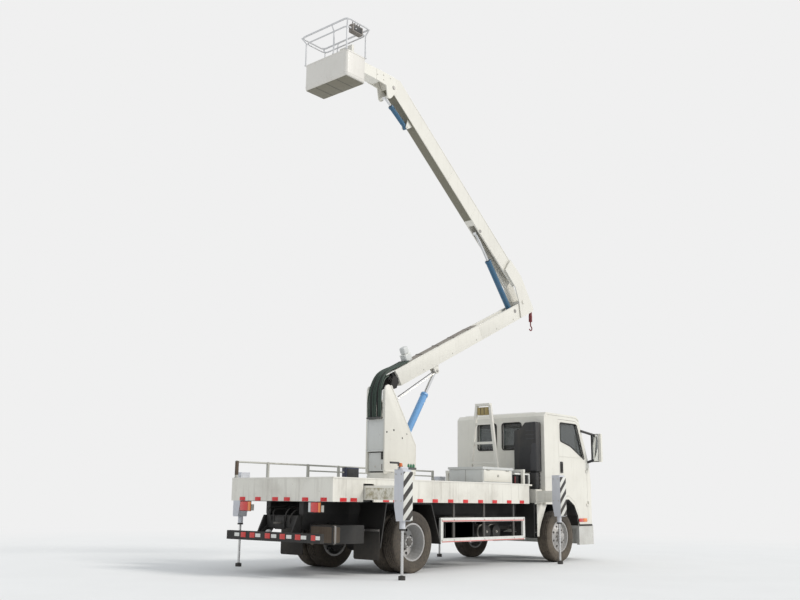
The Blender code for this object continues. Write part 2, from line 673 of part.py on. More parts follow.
def make_boom_rest():
    """The portal on the deck's front step and the ladder frame that the folded boom lies on."""
    x = 3.63
    top = BOOM_REST_TOP
    pieces = [box((x - 0.03, -0.98, 1.74), (x + 0.03, 0.98, 1.80)),
              box((x - 0.05, -0.18, top - 0.05), (x + 0.05, 0.18, top))]
    for _, side in SIDES:
        pieces.append(side_box((x - 0.028, 0.92, DECK_TOP + SEAT), (x + 0.028, 0.975, 1.79), side))
        leg = [(0.31, 1.76), (0.37, 1.76), (0.195, top - 0.02), (0.135, top - 0.02)]
        pieces.append(prism([(y * side, z) for y, z in leg], "X", x - 0.025, x + 0.025))
    for z in (1.95, 2.35, 2.75):
        half = 0.34 - (z - 1.76) / (top - 1.78) * 0.175
        pieces.append(box((x - 0.018, -half, z - 0.025), (x + 0.018, half, z + 0.025)))
    part("boom_rest", fuse(*pieces), ROOT, "white_paint")


BOOM_REST_TOP = BOOM_PIVOT[1] - BOOM_DEPTH / 2 - RUN - 0.002


def make_equipment_box():
    body = box((2.40, -0.86, DECK_TOP + SEAT), (3.38, -0.06, 1.80))
    lid = box((2.38, -0.88, 1.77), (3.40, -0.04, 1.815))
    part("equipment_box", fuse(body, lid), ROOT, "cream_paint")


def make_air_intake():
    stack = box((3.98, -CAB_HALF + 0.07, 1.77), (CAB_REAR - SEAT, -CAB_HALF + 0.66, 2.77))
    bevel = stack.modifiers.new("Bevel", "BEVEL")
    bevel.width = 0.04
    bevel.segments = 2
    part("air_intake", to_mesh(stack), ROOT, "cab_trim")


def screen_points(inset, depth_out, depth_in):
    """Corners of the windscreen's pane in the side view, with its faces at two depths in the wall."""
    low, high = Vector(SCREEN_LOW), Vector(SCREEN_HIGH)
    along = high - low
    inward = Vector((-along.y, along.x)).normalized()
    step = along.normalized() * inset
    a = low + along * SCREEN_FROM + step
    b = low + along * SCREEN_TO - step
    return [tuple(a + inward * depth_out), tuple(b + inward * depth_out), tuple(b + inward * depth_in), tuple(a + inward * depth_in)]


def make_cab():
    """The hollow cab with its screen, door and rear openings, its hinges, mirrors and front panel."""
    shell = cut(prism(CAB_OUTLINE, "Y", -CAB_HALF, CAB_HALF), prism(CAB_INSIDE, "Y", -CAB_HALF + CAB_WALL, CAB_HALF - CAB_WALL))
    cutters = [prism(screen_points(0, -0.1, 0.1), "Y", -SCREEN_HALF, SCREEN_HALF)]
    extras = []
    for _, side in SIDES:
        cutters.append(side_prism(DOOR_OUTLINE, CAB_HALF - CAB_WALL - 0.002, CAB_HALF + 0.1, side))
        y0, y1, z0, z1 = REAR_WINDOW
        cutters.append(side_box((CAB_REAR - 0.1, y0, z0), (CAB_REAR + 0.1, y1, z1), side))
        extras.append(mirror(side))
        for z in HINGE_HEIGHTS:
            extras.append(rod((DOOR_HINGE[0], side * DOOR_HINGE[1], z + SEAT), (DOOR_HINGE[0], side * DOOR_HINGE[1], z + 0.05), HINGE_R, 12))
            extras.append(side_box((DOOR_HINGE[0], CAB_HALF - 0.01, z + 0.002), (DOOR_HINGE[0] + 0.03, DOOR_HINGE[1] + 0.004, z + 0.048), side))
    part("cab", fuse(cut(shell, *cutters), *extras), ROOT, "cream_paint")


def mirror(side):
    head = side_box((5.965, CAB_HALF + 0.06, 2.03), (6.03, CAB_HALF + 0.30, 2.63), side)
    low = rod(mirrored((5.90, CAB_HALF - 0.02, 2.02), side), mirrored((6.0, CAB_HALF + 0.13, 2.08), side), 0.014, 8)
    high = rod(mirrored((5.64, CAB_HALF - 0.02, 2.68), side), mirrored((6.0, CAB_HALF + 0.15, 2.60), side), 0.014, 8)
    return fuse(head, low, high)


def make_cab_glass():
    part("windscreen", prism(screen_points(SEAT, 0.010, 0.018), "Y", -SCREEN_HALF + SEAT, SCREEN_HALF - SEAT), ROOT, "glass")
    _, y1, z0, z1 = REAR_WINDOW
    x = CAB_REAR + CAB_WALL + SEAT
    part("rear_window", box((x, -y1 - 0.03, z0 - 0.03), (x + 0.008, y1 + 0.03, z1 + 0.03)), ROOT, "glass")


def make_interior():
    bench = [(4.34, CAB_FLOOR + SEAT), (4.34, 2.30), (4.42, 2.34), (4.50, 1.82), (4.98, 1.80), (5.00, 1.70), (4.86, CAB_FLOOR + SEAT)]
    part("seat_bench", prism(bench, "Y", -CAB_HALF + 0.25, CAB_HALF - 0.25), ROOT, "seat_cloth")
    dash = [(5.9595, 1.40), (5.9595, 1.585), (5.9105, 1.935), (5.66, 1.90), (5.60, 1.70), (5.70, 1.40)]
    column = rod((5.70, 0.46, 1.75), (5.47, 0.46, 2.02), 0.03, 10)
    wheel = rod((5.478, 0.46, 2.015), (5.460, 0.46, 2.035), 0.20, 24)
    part("dashboard", fuse(prism(dash, "Y", -CAB_HALF + CAB_WALL + 0.005, CAB_HALF - CAB_WALL - 0.005), column, wheel), ROOT, "cab_trim")


def make_bumper():
    outer = box((5.47, -CAB_HALF, 0.31), (FRONT_END, CAB_HALF, 0.70 - SEAT))
    inside = box((5.40, -CAB_HALF + 0.06, 0.25), (FRONT_END - 0.10, CAB_HALF - 0.06, 0.64))
    recesses = [side_box((FRONT_END - 0.03, CAB_HALF - 0.51, 0.44), (FRONT_END + 0.1, CAB_HALF - 0.13, 0.61), side) for _, side in SIDES]
    part("bumper", cut(outer, inside, *recesses), ROOT, "cream_paint")
    x = CAB_OUTLINE[7][0] + SEAT
    half = CAB_HALF - 0.39
    bars = [box((x, -half, 0.82), (x + 0.012, half, 1.40))]
    for i in range(5):
        z = 0.86 + 0.115 * i
        bars.append(box((x + 0.004, -half + 0.02, z), (x + 0.034, half - 0.02, z + 0.045)))
    part("grille", fuse(*bars), ROOT, "cab_trim")


def inset_outline(outline, amount):
    """Move each side of a closed outline inwards by an amount."""
    points = [Vector(p) for p in outline]
    area = sum(a.x * b.y - b.x * a.y for a, b in zip(points, points[1:] + points[:1]))
    sign = 1 if area > 0 else -1
    result = []
    for i, p in enumerate(points):
        before = (p - points[i - 1]).normalized()
        after = (points[(i + 1) % len(points)] - p).normalized()
        n0 = Vector((-before.y, before.x)) * sign
        n1 = Vector((-after.y, after.x)) * sign
        result.append(tuple(p + (n0 + n1) * (amount / (1 + n0.dot(n1)))))
    return result


def make_door(name, side):
    """A door with its window cut out, its hinge knuckles and its pane."""
    frame = ROOT @ shift(DOOR_HINGE[0], side * DOOR_HINGE[1])
    back = frame.inverted() @ ROOT
    panel = side_prism(inset_outline(DOOR_OUTLINE, DOOR_GAP), CAB_HALF - CAB_WALL, CAB_HALF, side)
    window = side_prism(DOOR_WINDOW, CAB_HALF - CAB_WALL - 0.06, CAB_HALF + 0.19, side)
    pieces = [cut(panel, window)]
    for z in HINGE_HEIGHTS:
        pieces.append(rod((DOOR_HINGE[0], side * DOOR_HINGE[1], z - 0.05), (DOOR_HINGE[0], side * DOOR_HINGE[1], z), HINGE_R, 12))
        pieces.append(side_box((DOOR_HINGE[0] - 0.07, CAB_HALF + 0.001, z - 0.048), (DOOR_HINGE[0], DOOR_HINGE[1] + 0.004, z - 0.002), side))
        pieces.append(side_box((DOOR_HINGE[0] - 0.065, CAB_HALF - 0.01, z - 0.045), (DOOR_HINGE[0] - 0.025, DOOR_HINGE[1], z - 0.005), side))
    pieces.append(side_box((4.80, CAB_HALF - 0.005, 1.80), (4.84, CAB_HALF + 0.02, 1.96), side))
    door = fuse(*pieces)
    door.data.transform(back)
    part("door_" + name, door, frame, "cream_paint")
    pane = side_prism(inset_outline(DOOR_WINDOW, SEAT), CAB_HALF - 0.030, CAB_HALF - 0.022, side)
    pane.data.transform(back)
    part("door_glass_" + name, pane, frame, "glass")


def make_outrigger(row, name, side):
    """A sliding beam with its leg, and the jack that runs in the leg's bore."""
    end, x, y, foot, top, _ = row
    frame = ROOT @ shift(x, side * y)
    inner, outer = -LEG_HALF_Y, LEG_HALF_Y
    leg = [(inner, top), (outer, top), (outer, foot), (-LEG_TUBE_R + 0.003, foot), (inner, foot + LEG_TAPER_Z)]
    root = HOUSING_END[end] - BEAM_ENGAGED - y
    pieces = [prism([(v * side, z) for v, z in leg], "X", -LEG_HALF_X, LEG_HALF_X),
              side_box((-BEAM_HALF_X, root, BEAM_LOW), (BEAM_HALF_X, 0, BEAM_TOP), side),
              side_box((-BEAM_HALF_X - RUN + SEAT, root, BEAM_LOW - RUN + SEAT), (BEAM_HALF_X + RUN - SEAT, root + 0.06, BEAM_TOP + RUN - SEAT), side),
              rod((0, 0, foot - LEG_TUBE_LENGTH), (0, 0, foot + 0.01), LEG_TUBE_R, LEG_SEGMENTS),
              side_box((-LEG_HALF_X, outer - 0.004, foot + 0.01), (LEG_HALF_X + 0.02, outer + LEG_BOARD, top - 0.02), side)]
    body = fuse(*pieces)
    bore = rod((0, 0, foot - LEG_TUBE_LENGTH - 0.1), (0, 0, JACK_TOP + JACK_TRAVEL + 0.02), JACK_R + PIN_GAP, LEG_SEGMENTS)
    part("outrigger_%s_%s" % (end, name), cut(body, bore), frame, "cream_paint")
    jack = fuse(rod((0, 0, FOOT_H - 0.01), (0, 0, JACK_TOP), JACK_R, LEG_SEGMENTS), rod((0, 0, 0), (0, 0, FOOT_H), FOOT_R, 20))
    part("jack_%s_%s" % (end, name), jack, frame, "rail_grey")


def make_turret():
    """Two side plates on a turntable plate, tied by the covers, the boom's pin and the cylinder's pin."""
    px, pz = BOOM_PIVOT
    cheek = [(TURRET_REAR, SLEW_TOP + 0.03), (TURRET_REAR, 2.95)]
    cheek += arc((px, pz), TURRET_NOSE_R, 150, 20, 7)
    cheek += [(TURRET_FRONT, TURRET_SHOULDER), (TURRET_FRONT, SLEW_TOP + 0.03)]
    inner = TURRET_HALF - TURRET_PLATE
    pieces = [rod((0, 0, SLEW_TOP + SEAT), (0, 0, SLEW_TOP + 0.05), SLEW_R - 0.01, 28)]
    for _, side in SIDES:
        pieces.append(side_prism(cheek, inner, TURRET_HALF, side))
        edge = [(TURRET_FRONT, SLEW_TOP + 0.04), (TURRET_FRONT, TURRET_SHOULDER), (px + 0.10, pz - 0.03), (px + 0.07, pz - 0.045),
                (TURRET_FRONT - 0.03, TURRET_SHOULDER - 0.01), (TURRET_FRONT - 0.03, SLEW_TOP + 0.04)]
        pieces.append(side_prism(edge, BOOM_HALF + 0.01, inner + 0.01, side))
    pieces.append(box((TURRET_REAR + 0.004, -inner - 0.01, COVER_LOW), (TURRET_REAR + 0.024, inner + 0.01, COVER_TOP)))
    pieces.append(box((TURRET_REAR + 0.10, -inner - 0.01, TURRET_FOOT), (TURRET_REAR + 0.12, inner + 0.01, COVER_LOW + 0.30)))
    pieces.append(rod((px, -inner - 0.01, pz), (px, inner + 0.01, pz), HEEL_PIN_R, 20))
    pieces.append(rod((LIFT_BASE[0], -inner - 0.01, LIFT_BASE[1]), (LIFT_BASE[0], inner + 0.01, LIFT_BASE[1]), 0.03, 16))
    part("turret", fuse(*pieces), TURRET, "cream_paint")


def make_hose_bundle():
    """The hoses that rise behind the turret and turn forward over the heel of the boom."""
    px, pz = BOOM_PIVOT
    points = [
        (px - 0.44, COVER_TOP - 0.05), (px - 0.48, 2.85), (px - 0.495, 3.05), (px - 0.485, 3.22), (px - 0.445, 3.36),
        (px - 0.375, 3.455), (px - 0.28, 3.50),
    ]
    hoses = tube([(x, 0, z) for x, z in points], HOSE_BUNDLE_R, fineness=2)
    clamp = box((px - 0.52, -0.10, COVER_TOP - 0.07), (TURRET_REAR + 0.004 - SEAT, 0.10, COVER_TOP - 0.01))
    part("hose_bundle", fuse(hoses, clamp), TURRET, "hose_green")


def lug(x, z, seat_z, radius, side, reach=0.10):
    """One plate of a cylinder's lug, hung from a flat face at seat_z, with its pin's head outside."""
    outward = 1 if z > seat_z else -1
    start, end = (0, 180) if outward > 0 else (180, 360)
    outline = arc((x, z), radius, start, end, 8) + ([(x - reach, seat_z - outward * 0.01), (x + reach, seat_z - outward * 0.01)] if outward > 0
                                                    else [(x + reach, seat_z - outward * 0.01), (x - reach, seat_z - outward * 0.01)])
    y0 = EYE_HALF + RUN
    plate = side_prism(outline, y0, y0 + LUG_PLATE, side)
    head = rod(mirrored((x, y0 + LUG_PLATE - 0.004, z), side), mirrored((x, y0 + LUG_PLATE + 0.012, z), side), radius * 0.45, 12)
    return fuse(plate, head)


def make_lower_boom():
    """The box beam with its heel, the trough for the folding cylinder, its lugs and the cradle."""
    low, top = -BOOM_DEPTH / 2, BOOM_DEPTH / 2
    side_view = [(-0.12, low), (BOOM_END, low), (BOOM_END, top - 0.04), (BOOM_END - 0.04, top), (-0.12, top), (-HEEL_REAR, 0.06), (-HEEL_REAR, -0.06)]
    beam = prism(side_view, "Y", -BOOM_HALF, BOOM_HALF)
    boss = rod((0, -TURRET_HALF + TURRET_PLATE + RUN, 0), (0, TURRET_HALF - TURRET_PLATE - RUN, 0), HEEL_PIN_R + 0.035, 20)
    pieces = [beam, boss]
    for _, side in SIDES:
        pieces.append(lug(LIFT_EYE[0], LIFT_EYE[1], low, CYLINDERS["lift"][3] + 0.012, side))
        horn = [(CRADLE_X - CRADLE_HALF, top - 0.01), (CRADLE_X + CRADLE_HALF, top - 0.01),
                (CRADLE_X + CRADLE_HALF * 0.8, CRADLE_PAD + 0.09), (CRADLE_X - CRADLE_HALF * 0.8, CRADLE_PAD + 0.09)]
        pieces.append(side_prism(horn, UPPER_HALF + RUN, UPPER_HALF + RUN + 0.02, side))
    pieces.append(box((CRADLE_X - CRADLE_HALF * 0.8, -UPPER_HALF - 0.015, CRADLE_PAD - 0.03), (CRADLE_X + CRADLE_HALF * 0.8, UPPER_HALF + 0.015, CRADLE_PAD)))
    hx, hz = HOOK_PIVOT
    hanger = [(BOOM_END - 0.04, low + 0.02), (BOOM_END - 0.04, low + 0.14), (BOOM_END + 0.02, low + 0.14), (hx + 0.03, hz + 0.02), (hx, hz - 0.03), (hx - 0.03, hz - 0.01)]
    pieces.append(prism(hanger, "Y", -0.012, 0.012))
    body = fuse(*pieces)
    cutters = [box((TROUGH_FROM, -TROUGH_HALF, TROUGH_FLOOR), (TROUGH_TO, TROUGH_HALF, top + 0.1)),
               rod((0, -0.3, 0), (0, 0.3, 0), HEEL_PIN_R + PIN_GAP, 20),
               rod((ELBOW[0], -0.3, ELBOW[1]), (ELBOW[0], 0.3, ELBOW[1]), ELBOW_PIN_R + PIN_GAP, 20),
               rod((hx, -0.3, hz), (hx, 0.3, hz), HOOK_PIN_R + PIN_GAP, 12)]
    body = cut(body, *cutters)
    base = rod((FOLD_BASE[0], -TROUGH_HALF - 0.01, FOLD_BASE[1]), (FOLD_BASE[0], TROUGH_HALF + 0.01, FOLD_BASE[1]), 0.025, 16)
    part("lower_boom", fuse(body, base), LOWER, "cream_paint")


STOWED_FOLD = 3.6        # angle between the booms when the upper one lies in the cradle
CRADLE_PAD = ELBOW[1] + UPPER_LOW + (ELBOW[0] - CRADLE_X) * math.tan(math.radians(STOWED_FOLD)) - RUN - 0.012


def make_upper_boom():
    """The box beam, the fork that grips the lower boom's end, and the lugs under it."""
    side_view = [(UPPER_START, UPPER_LOW), (5.76, UPPER_LOW), (5.99, 0.15), (5.63, UPPER_TOP), (UPPER_START, UPPER_TOP)]
    inner = BOOM_HALF + FORK_GAP
    fork = [(0.90, 0.08), (0.90, 0.41), (0.40, UPPER_TOP - 0.01), (-0.38, 0.20), (-0.41, 0.13), (-0.17, -0.33),
            (0.10, -0.10), (0.42, 0.06)]
    pieces = [prism(side_view, "Y", -UPPER_HALF, UPPER_HALF),
              prism([(0.46, 0.07), (0.46, 0.42), (0.88, 0.405), (0.88, 0.09)], "Y", -inner - 0.01, inner + 0.01)]
    for _, side in SIDES:
        pieces.append(side_prism(fork, inner, inner + FORK_PLATE, side))
        pieces.append(rod(mirrored((FOLD_EYE[0], UPPER_HALF - 0.01, FOLD_EYE[1] + 0.05), side), mirrored((FOLD_EYE[0], UPPER_HALF + 0.012, FOLD_EYE[1] + 0.05), side), 0.04, 16))
        pieces.append(lug(LEVEL_BASE[0], LEVEL_BASE[1], UPPER_LOW, 0.042, side, 0.09))
    pin = inner + FORK_PLATE + 0.02
    pieces.append(rod((0, -pin, 0), (0, pin, 0), ELBOW_PIN_R, 20))
    pieces.append(rod((LEVEL_BASE[0], -EYE_HALF - RUN - 0.005, LEVEL_BASE[1]), (LEVEL_BASE[0], EYE_HALF + RUN + 0.005, LEVEL_BASE[1]), 0.014, 12))
    body = fuse(*pieces)
    channel = box((UPPER_START - 0.1, -CHANNEL_HALF, UPPER_LOW - 0.1), (CHANNEL_TO, CHANNEL_HALF, CHANNEL_TOP))
    part("upper_boom", cut(body, channel, rod((TIP_PIVOT[0], -0.3, TIP_PIVOT[1]), (TIP_PIVOT[0], 0.3, TIP_PIVOT[1]), 0.03 + PIN_GAP, 16)), UPPER, "cream_paint")


def cylinder_frame(start, end):
    """A frame at a cylinder's base pin whose X axis points at its rod's eye."""
    along = end - start
    return shift(*start) @ pitch(math.degrees(math.atan2(along.z, along.x)))


def make_cylinder(name, base, eye, base_pin, barrel_paint):
    """A barrel on its base pin, and the rod that slides in it, with a plain eye at its outer end."""
    barrel_r, rod_r, length, eye_r = CYLINDERS[name]
    frame = cylinder_frame(base, eye)
    reach = (eye - base).length
    barrel = fuse(rod((0.10, 0, 0), (length, 0, 0), barrel_r), rod((0, -EYE_HALF, 0), (0, EYE_HALF, 0), eye_r + 0.012),
                  box((0, -EYE_HALF + 0.003, -eye_r * 0.8), (0.14, EYE_HALF - 0.003, eye_r * 0.8)))
    barrel = cut(barrel, rod((0, -0.1, 0), (0, 0.1, 0), base_pin + PIN_GAP),
                 rod((0.18, 0, 0), (length - 0.05, 0, 0), rod_r + 0.006), rod((0.5, 0, 0), (length + 0.1, 0, 0), rod_r + PIN_GAP))
    part(name + "_barrel", barrel, frame, barrel_paint)
    inner = ROD_INSIDE[name]
    stem = fuse(rod((reach - inner, 0, 0), (reach - eye_r * 0.5, 0, 0), rod_r), rod((reach, -EYE_HALF, 0), (reach, EYE_HALF, 0), eye_r))
    part(name + "_rod", stem, frame, "chrome")


ROD_INSIDE = {"lift": 1.45, "fold": 1.30, "level": 0.45}


def make_basket_arm():
    """Two plates on the boom's tip, the box arm behind them and the mast that holds the basket."""
    inner = UPPER_HALF + RUN
    ex, ez = LEVEL_EYE
    plate = [(ARM_WEB_X - 0.12, ARM_LOW), (ARM_WEB_X - 0.12, ARM_TOP), (0.02, ARM_TOP - 0.01), (0.10, 0.08), (0.08, -0.06),
             (ex + 0.05, ez - 0.03), (ex, ez - 0.05), (ex - 0.05, ez - 0.02), (-0.22, ARM_LOW - 0.02)]
    pieces = [box((MAST_X - 0.01, -inner - ARM_PLATE + 0.004, ARM_LOW + 0.004), (ARM_WEB_X, inner + ARM_PLATE - 0.004, ARM_TOP - 0.004)),
              box((MAST_X - MAST_PLATE, -0.16, BASKET_LOW + 0.05), (MAST_X, 0.16, 0.42)),
              rod((0, -inner - ARM_PLATE - 0.01, 0), (0, inner + ARM_PLATE + 0.01, 0), 0.03, 16)]
    for _, side in SIDES:
        pieces.append(side_prism(plate, inner, inner + ARM_PLATE, side))
        pieces.append(rod(mirrored((ex, EYE_HALF + RUN, ez), side), mirrored((ex, inner + 0.01, ez), side), 0.028, 12))
    part("basket_arm", fuse(*pieces), LEVEL, "cream_paint")


def make_basket():
    """The sheet-metal tub with its rim, and the tube rails that stand on it."""
    front, rear = BASKET_FRONT, BASKET_FRONT - BASKET_DEPTH
    half, wall = BASKET_HALF, BASKET_WALL
    front_face = MAST_X - MAST_PLATE - SEAT
    outer = fuse(box((rear, -half, BASKET_LOW), (front_face, half, BASKET_RIM)))
    inside = box((rear + wall, -half + wall, BASKET_LOW + 0.02), (front_face - wall, half - wall, BASKET_RIM + 0.1))
    tub = cut(outer, inside)
    rim_out = box((rear, -half, BASKET_RIM - 0.012), (front_face, half, BASKET_RIM))
    rim_in = box((rear + 0.036, -half + 0.036, BASKET_RIM - 0.1), (front_face - 0.036, half - 0.036, BASKET_RIM + 0.1))
    part("basket_tub", fuse(tub, cut(rim_out, rim_in)), LEVEL, "cream_paint")
    r = BASKET_TUBE
    x0, x1, y = rear + 0.018, front_face - 0.018, half - 0.018
    pieces = []
    for z, radius in ((BASKET_TOP - r, r), (BASKET_LOWER_RAIL, r * 0.8)):
        ring = [(x0, -y, z), (x1, -y, z), (x1, y, z), (x0, y, z)]
        pieces.append(tube(ring, radius, closed=True))
    for px, py in ((x0, y), (x1, y), (x0, -y), (x1, -y), (x0, 0.0), (x1, 0.19)):
        pieces.append(rod((px, py, BASKET_RIM + SEAT), (px, py, BASKET_TOP - r), r * 0.9, 10))
    pieces.append(box((x0 + 0.10, -y - 0.05, BASKET_LOWER_RAIL - 0.06), (x0 + 0.40, -y + 0.06, BASKET_TOP + 0.03)))
    part("basket_rails", fuse(*pieces), LEVEL, "rail_grey")


def make_hook():
    """A chain hook that swings on a lug at the end of the lower boom."""
    x, z = HOOK_PIVOT
    pivot = LOWER @ Vector((x, 0, z))
    frame = shift(*pivot)
    pieces = [rod((0, -0.035, 0), (0, 0.035, 0), HOOK_PIN_R, 12)]
    for _, side in SIDES:
        pieces.append(side_box((-0.022, 0.014, -0.11), (0.022, 0.028, 0.022), side))
    pieces.append(box((-0.026, -0.03, -0.25), (0.026, 0.03, -0.10)))
    pieces.append(rod((0, 0, -0.34), (0, 0, -0.24), 0.014, 8))
    bend = [(0, -0.33)] + arc((0, -0.40), 0.05, 90, -160, 10)
    pieces.append(tube([(px, 0, pz) for px, pz in bend], 0.013, fineness=1))
    part("hook", fuse(*pieces), frame, "hook_red")


def build():
    make_frame()
    make_engine()
    make_front_axle()
    make_rear_axle()
    make_subframe()
    make_deck()
    make_railing()
    make_underrun_bar()
    make_fuel_tank()
    make_boom_rest()
    make_equipment_box()
    make_air_intake()
    make_cab()
    make_cab_glass()
    make_interior()
    make_bumper()
    for name, side in SIDES:
        make_side_guard(name, side)
        make_knuckle(name, side)
        make_door(name, side)
        for end in ("front", "rear"):
            make_wheel(end, name, side)
        for row in OUTRIGGERS:
            make_outrigger(row, name, side)
    make_turret()
    make_hose_bundle()
    make_lower_boom()
    make_upper_boom()
    lift_base = TURRET @ Vector((LIFT_BASE[0], 0, LIFT_BASE[1]))
    lift_eye = LOWER @ Vector((LIFT_EYE[0], 0, LIFT_EYE[1]))
    make_cylinder("lift", lift_base, lift_eye, 0.03, "cylinder_blue")
    fold_base = LOWER @ Vector((FOLD_BASE[0], 0, FOLD_BASE[1]))
    fold_eye = UPPER @ Vector((FOLD_EYE[0], 0, FOLD_EYE[1]))
    make_cylinder("fold", fold_base, fold_eye, 0.025, "cylinder_dark_blue")
    level_base = UPPER @ Vector((LEVEL_BASE[0], 0, LEVEL_BASE[1]))
    level_eye = LEVEL @ Vector((LEVEL_EYE[0], 0, LEVEL_EYE[1]))
    make_cylinder("level", level_base, level_eye, 0.014, "cylinder_dark_blue")
    make_basket_arm()
    make_basket()
    make_hook()


clear_scene()
PARTS = bpy.data.collections.new("cherry_picker_truck")
bpy.context.scene.collection.children.link(PARTS)
MATERIALS = {name: make_material(name) for name in PAINTS}
build()
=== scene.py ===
"""Looks for a cherry picker truck: finishes for the CAD frame, and the trim that rides on it."""

import math

import bmesh
import bpy
from mathutils import Matrix, Vector


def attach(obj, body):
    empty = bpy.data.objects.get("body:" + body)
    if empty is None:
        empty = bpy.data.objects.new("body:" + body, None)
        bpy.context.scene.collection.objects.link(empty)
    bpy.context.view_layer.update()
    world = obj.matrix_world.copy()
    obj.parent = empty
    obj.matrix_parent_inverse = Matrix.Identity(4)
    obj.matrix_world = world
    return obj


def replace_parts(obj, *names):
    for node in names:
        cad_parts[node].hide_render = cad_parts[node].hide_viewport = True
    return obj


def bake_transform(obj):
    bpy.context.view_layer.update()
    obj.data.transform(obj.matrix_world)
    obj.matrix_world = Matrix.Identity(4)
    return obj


bl_info = {
    "name": "Cherry Picker Truck Looks",
    "version": (1, 0, 0),
    "blender": (4, 5, 0),
    "location": "View3D > Sidebar > Truck",
    "description": "Finishes, trim and stage for a cherry picker truck",
    "category": "Object",
}

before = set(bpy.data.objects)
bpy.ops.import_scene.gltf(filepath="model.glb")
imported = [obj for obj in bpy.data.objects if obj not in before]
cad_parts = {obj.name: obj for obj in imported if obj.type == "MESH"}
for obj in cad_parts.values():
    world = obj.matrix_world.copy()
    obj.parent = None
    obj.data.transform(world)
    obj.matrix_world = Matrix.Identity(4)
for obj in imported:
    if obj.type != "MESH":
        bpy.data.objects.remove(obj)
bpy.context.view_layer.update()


def shift(x=0.0, y=0.0, z=0.0):
    return Matrix.Translation((x, y, z))


def pitch(degrees):
    """A turn that lifts +X towards +Z."""
    return Matrix.Rotation(-math.radians(degrees), 4, "Y")


# Pins in side view, each in the frame of the piece that carries it, and the frames of the moving assemblies
# as the truck stands. In the truck's own frame, X is 0 over the rear axle.
BOOM_HEEL = (-0.09, 3.33)
LIFT_BASE = (-0.01, 1.72)
LIFT_EYE = (1.373, -0.280)
FOLD_BASE = (4.450, 0.050)
ELBOW = (4.810, 0.152)
BOOM_TIP = (5.656, 0.129)
LOWER_ANGLE = 25.4
FOLD_ANGLE = 116.8
TRUCK = shift(-2.0)
TURRET = TRUCK @ shift(0.75)
LOWER = TURRET @ shift(BOOM_HEEL[0], 0, BOOM_HEEL[1]) @ pitch(LOWER_ANGLE)
UPPER = LOWER @ shift(ELBOW[0], 0, ELBOW[1]) @ pitch(FOLD_ANGLE) @ Matrix.Rotation(math.pi, 4, "X")
BASKET = shift(*(UPPER @ Vector((BOOM_TIP[0], 0, BOOM_TIP[1]))))
SIDES = (("left", 1), ("right", -1))

# Sizes shared with the CAD source, in metres.
TYRE_R = 0.50
FRONT_AXLE_X = 4.60
WHEEL_Y = 1.06
# Row, place along and across the truck, body and node, named by the side.
WHEELS = (
    ("front", FRONT_AXLE_X, WHEEL_Y, "wheel_front_{}", "tyre_front_{}"),
    ("rear", 0.0, WHEEL_Y, "wheel_rear_{}", "tyre_rear_{}"),
    ("rear_inner", 0.0, 0.75, "wheel_rear_{}", "tyre_rear_inner_{}"),
)
# Row, place along the truck, leg's distance from the middle, underside and top of the leg.
OUTRIGGERS = (("rear", -1.12, 1.910, 0.86, 1.62), ("front", 4.05, 1.500, 0.90, 1.68))
DECK_HALF = 1.20
DECK_TOP = 1.511
DECK_REAR_FACE = -1.9202
BAR_REAR_FACE = -2.0602
GUARD_FACE = 1.1502
CAB_FACE = 1.112


def colour_setting(name, description, default):
    return bpy.props.FloatVectorProperty(
        name=name, description=description, default=default, size=3, min=0, max=1, subtype="COLOR")


def length_setting(name, description, default, low, high):
    return bpy.props.FloatProperty(
        name=name, description=description, default=default, min=low, max=high, unit="LENGTH")


class TruckColours(bpy.types.PropertyGroup):
    """Paint and rubber colours, in linear light."""

    cream: colour_setting(
        "Cream", "Enamel of the cab, deck and basket", (0.75, 0.73, 0.665))
    grey: colour_setting(
        "Light grey", "Enamel of the booms, turret and outriggers", (0.72, 0.70, 0.64))
    black: colour_setting(
        "Chassis black", "Satin paint of the chassis", (0.012, 0.012, 0.012))
    rubber: colour_setting(
        "Rubber", "Tyres and mud flaps", (0.030, 0.026, 0.023))
    light_blue: colour_setting(
        "Light blue", "Lifting cylinder", (0.13, 0.33, 0.62))
    dark_blue: colour_setting(
        "Dark blue", "Folding and levelling cylinders", (0.022, 0.105, 0.20))
    hook_red: colour_setting(
        "Hook red", "Load hook and its shackle", (0.16, 0.012, 0.018))
    dust: colour_setting(
        "Road dust", "Dust and grime on all surfaces", (0.20, 0.165, 0.125))


class TruckTrim(bpy.types.PropertyGroup):
    """Sizes of the fitted trim."""

    tread_depth: length_setting(
        "Tread depth", "Depth of the grooves round the tyres", 0.013, 0.004, 0.02)
    nut_radius: length_setting(
        "Wheel nut radius", "Across the corners of a wheel nut, halved", 0.016, 0.008, 0.02)
    hose_radius: length_setting(
        "Hose radius", "Radius of the hydraulic hoses", 0.014, 0.006, 0.02)
    stripe_pitch: length_setting(
        "Stripe pitch", "Distance between the slanting stripes on the outrigger boards", 0.205, 0.05, 0.3)


class TruckStage(bpy.types.PropertyGroup):
    """Floor, lamps and camera."""

    floor_size: length_setting(
        "Floor size", "Side of the square floor", 400.0, 50, 1000)
    key_strength: bpy.props.FloatProperty(
        name="Key strength", description="Strength of the sunlike key lamp", default=1.8, min=0, max=10)
    sky_strength: bpy.props.FloatProperty(
        name="Sky strength", description="Strength of the soft light from all round", default=0.76, min=0,
        max=2)
    lens: bpy.props.FloatProperty(
        name="Lens", description="Focal length of the camera in millimetres", default=41.48, min=10, max=200)


# Nodes and node groups

def link(tree, source, target):
    tree.links.new(source, target)


def noise(tree, vector, scale, detail=4.0, rough=0.55):
    node = tree.nodes.new("ShaderNodeTexNoise")
    node.inputs["Scale"].default_value = scale
    node.inputs["Detail"].default_value = detail
    node.inputs["Roughness"].default_value = rough
    link(tree, vector, node.inputs["Vector"])
    return node.outputs["Fac"]


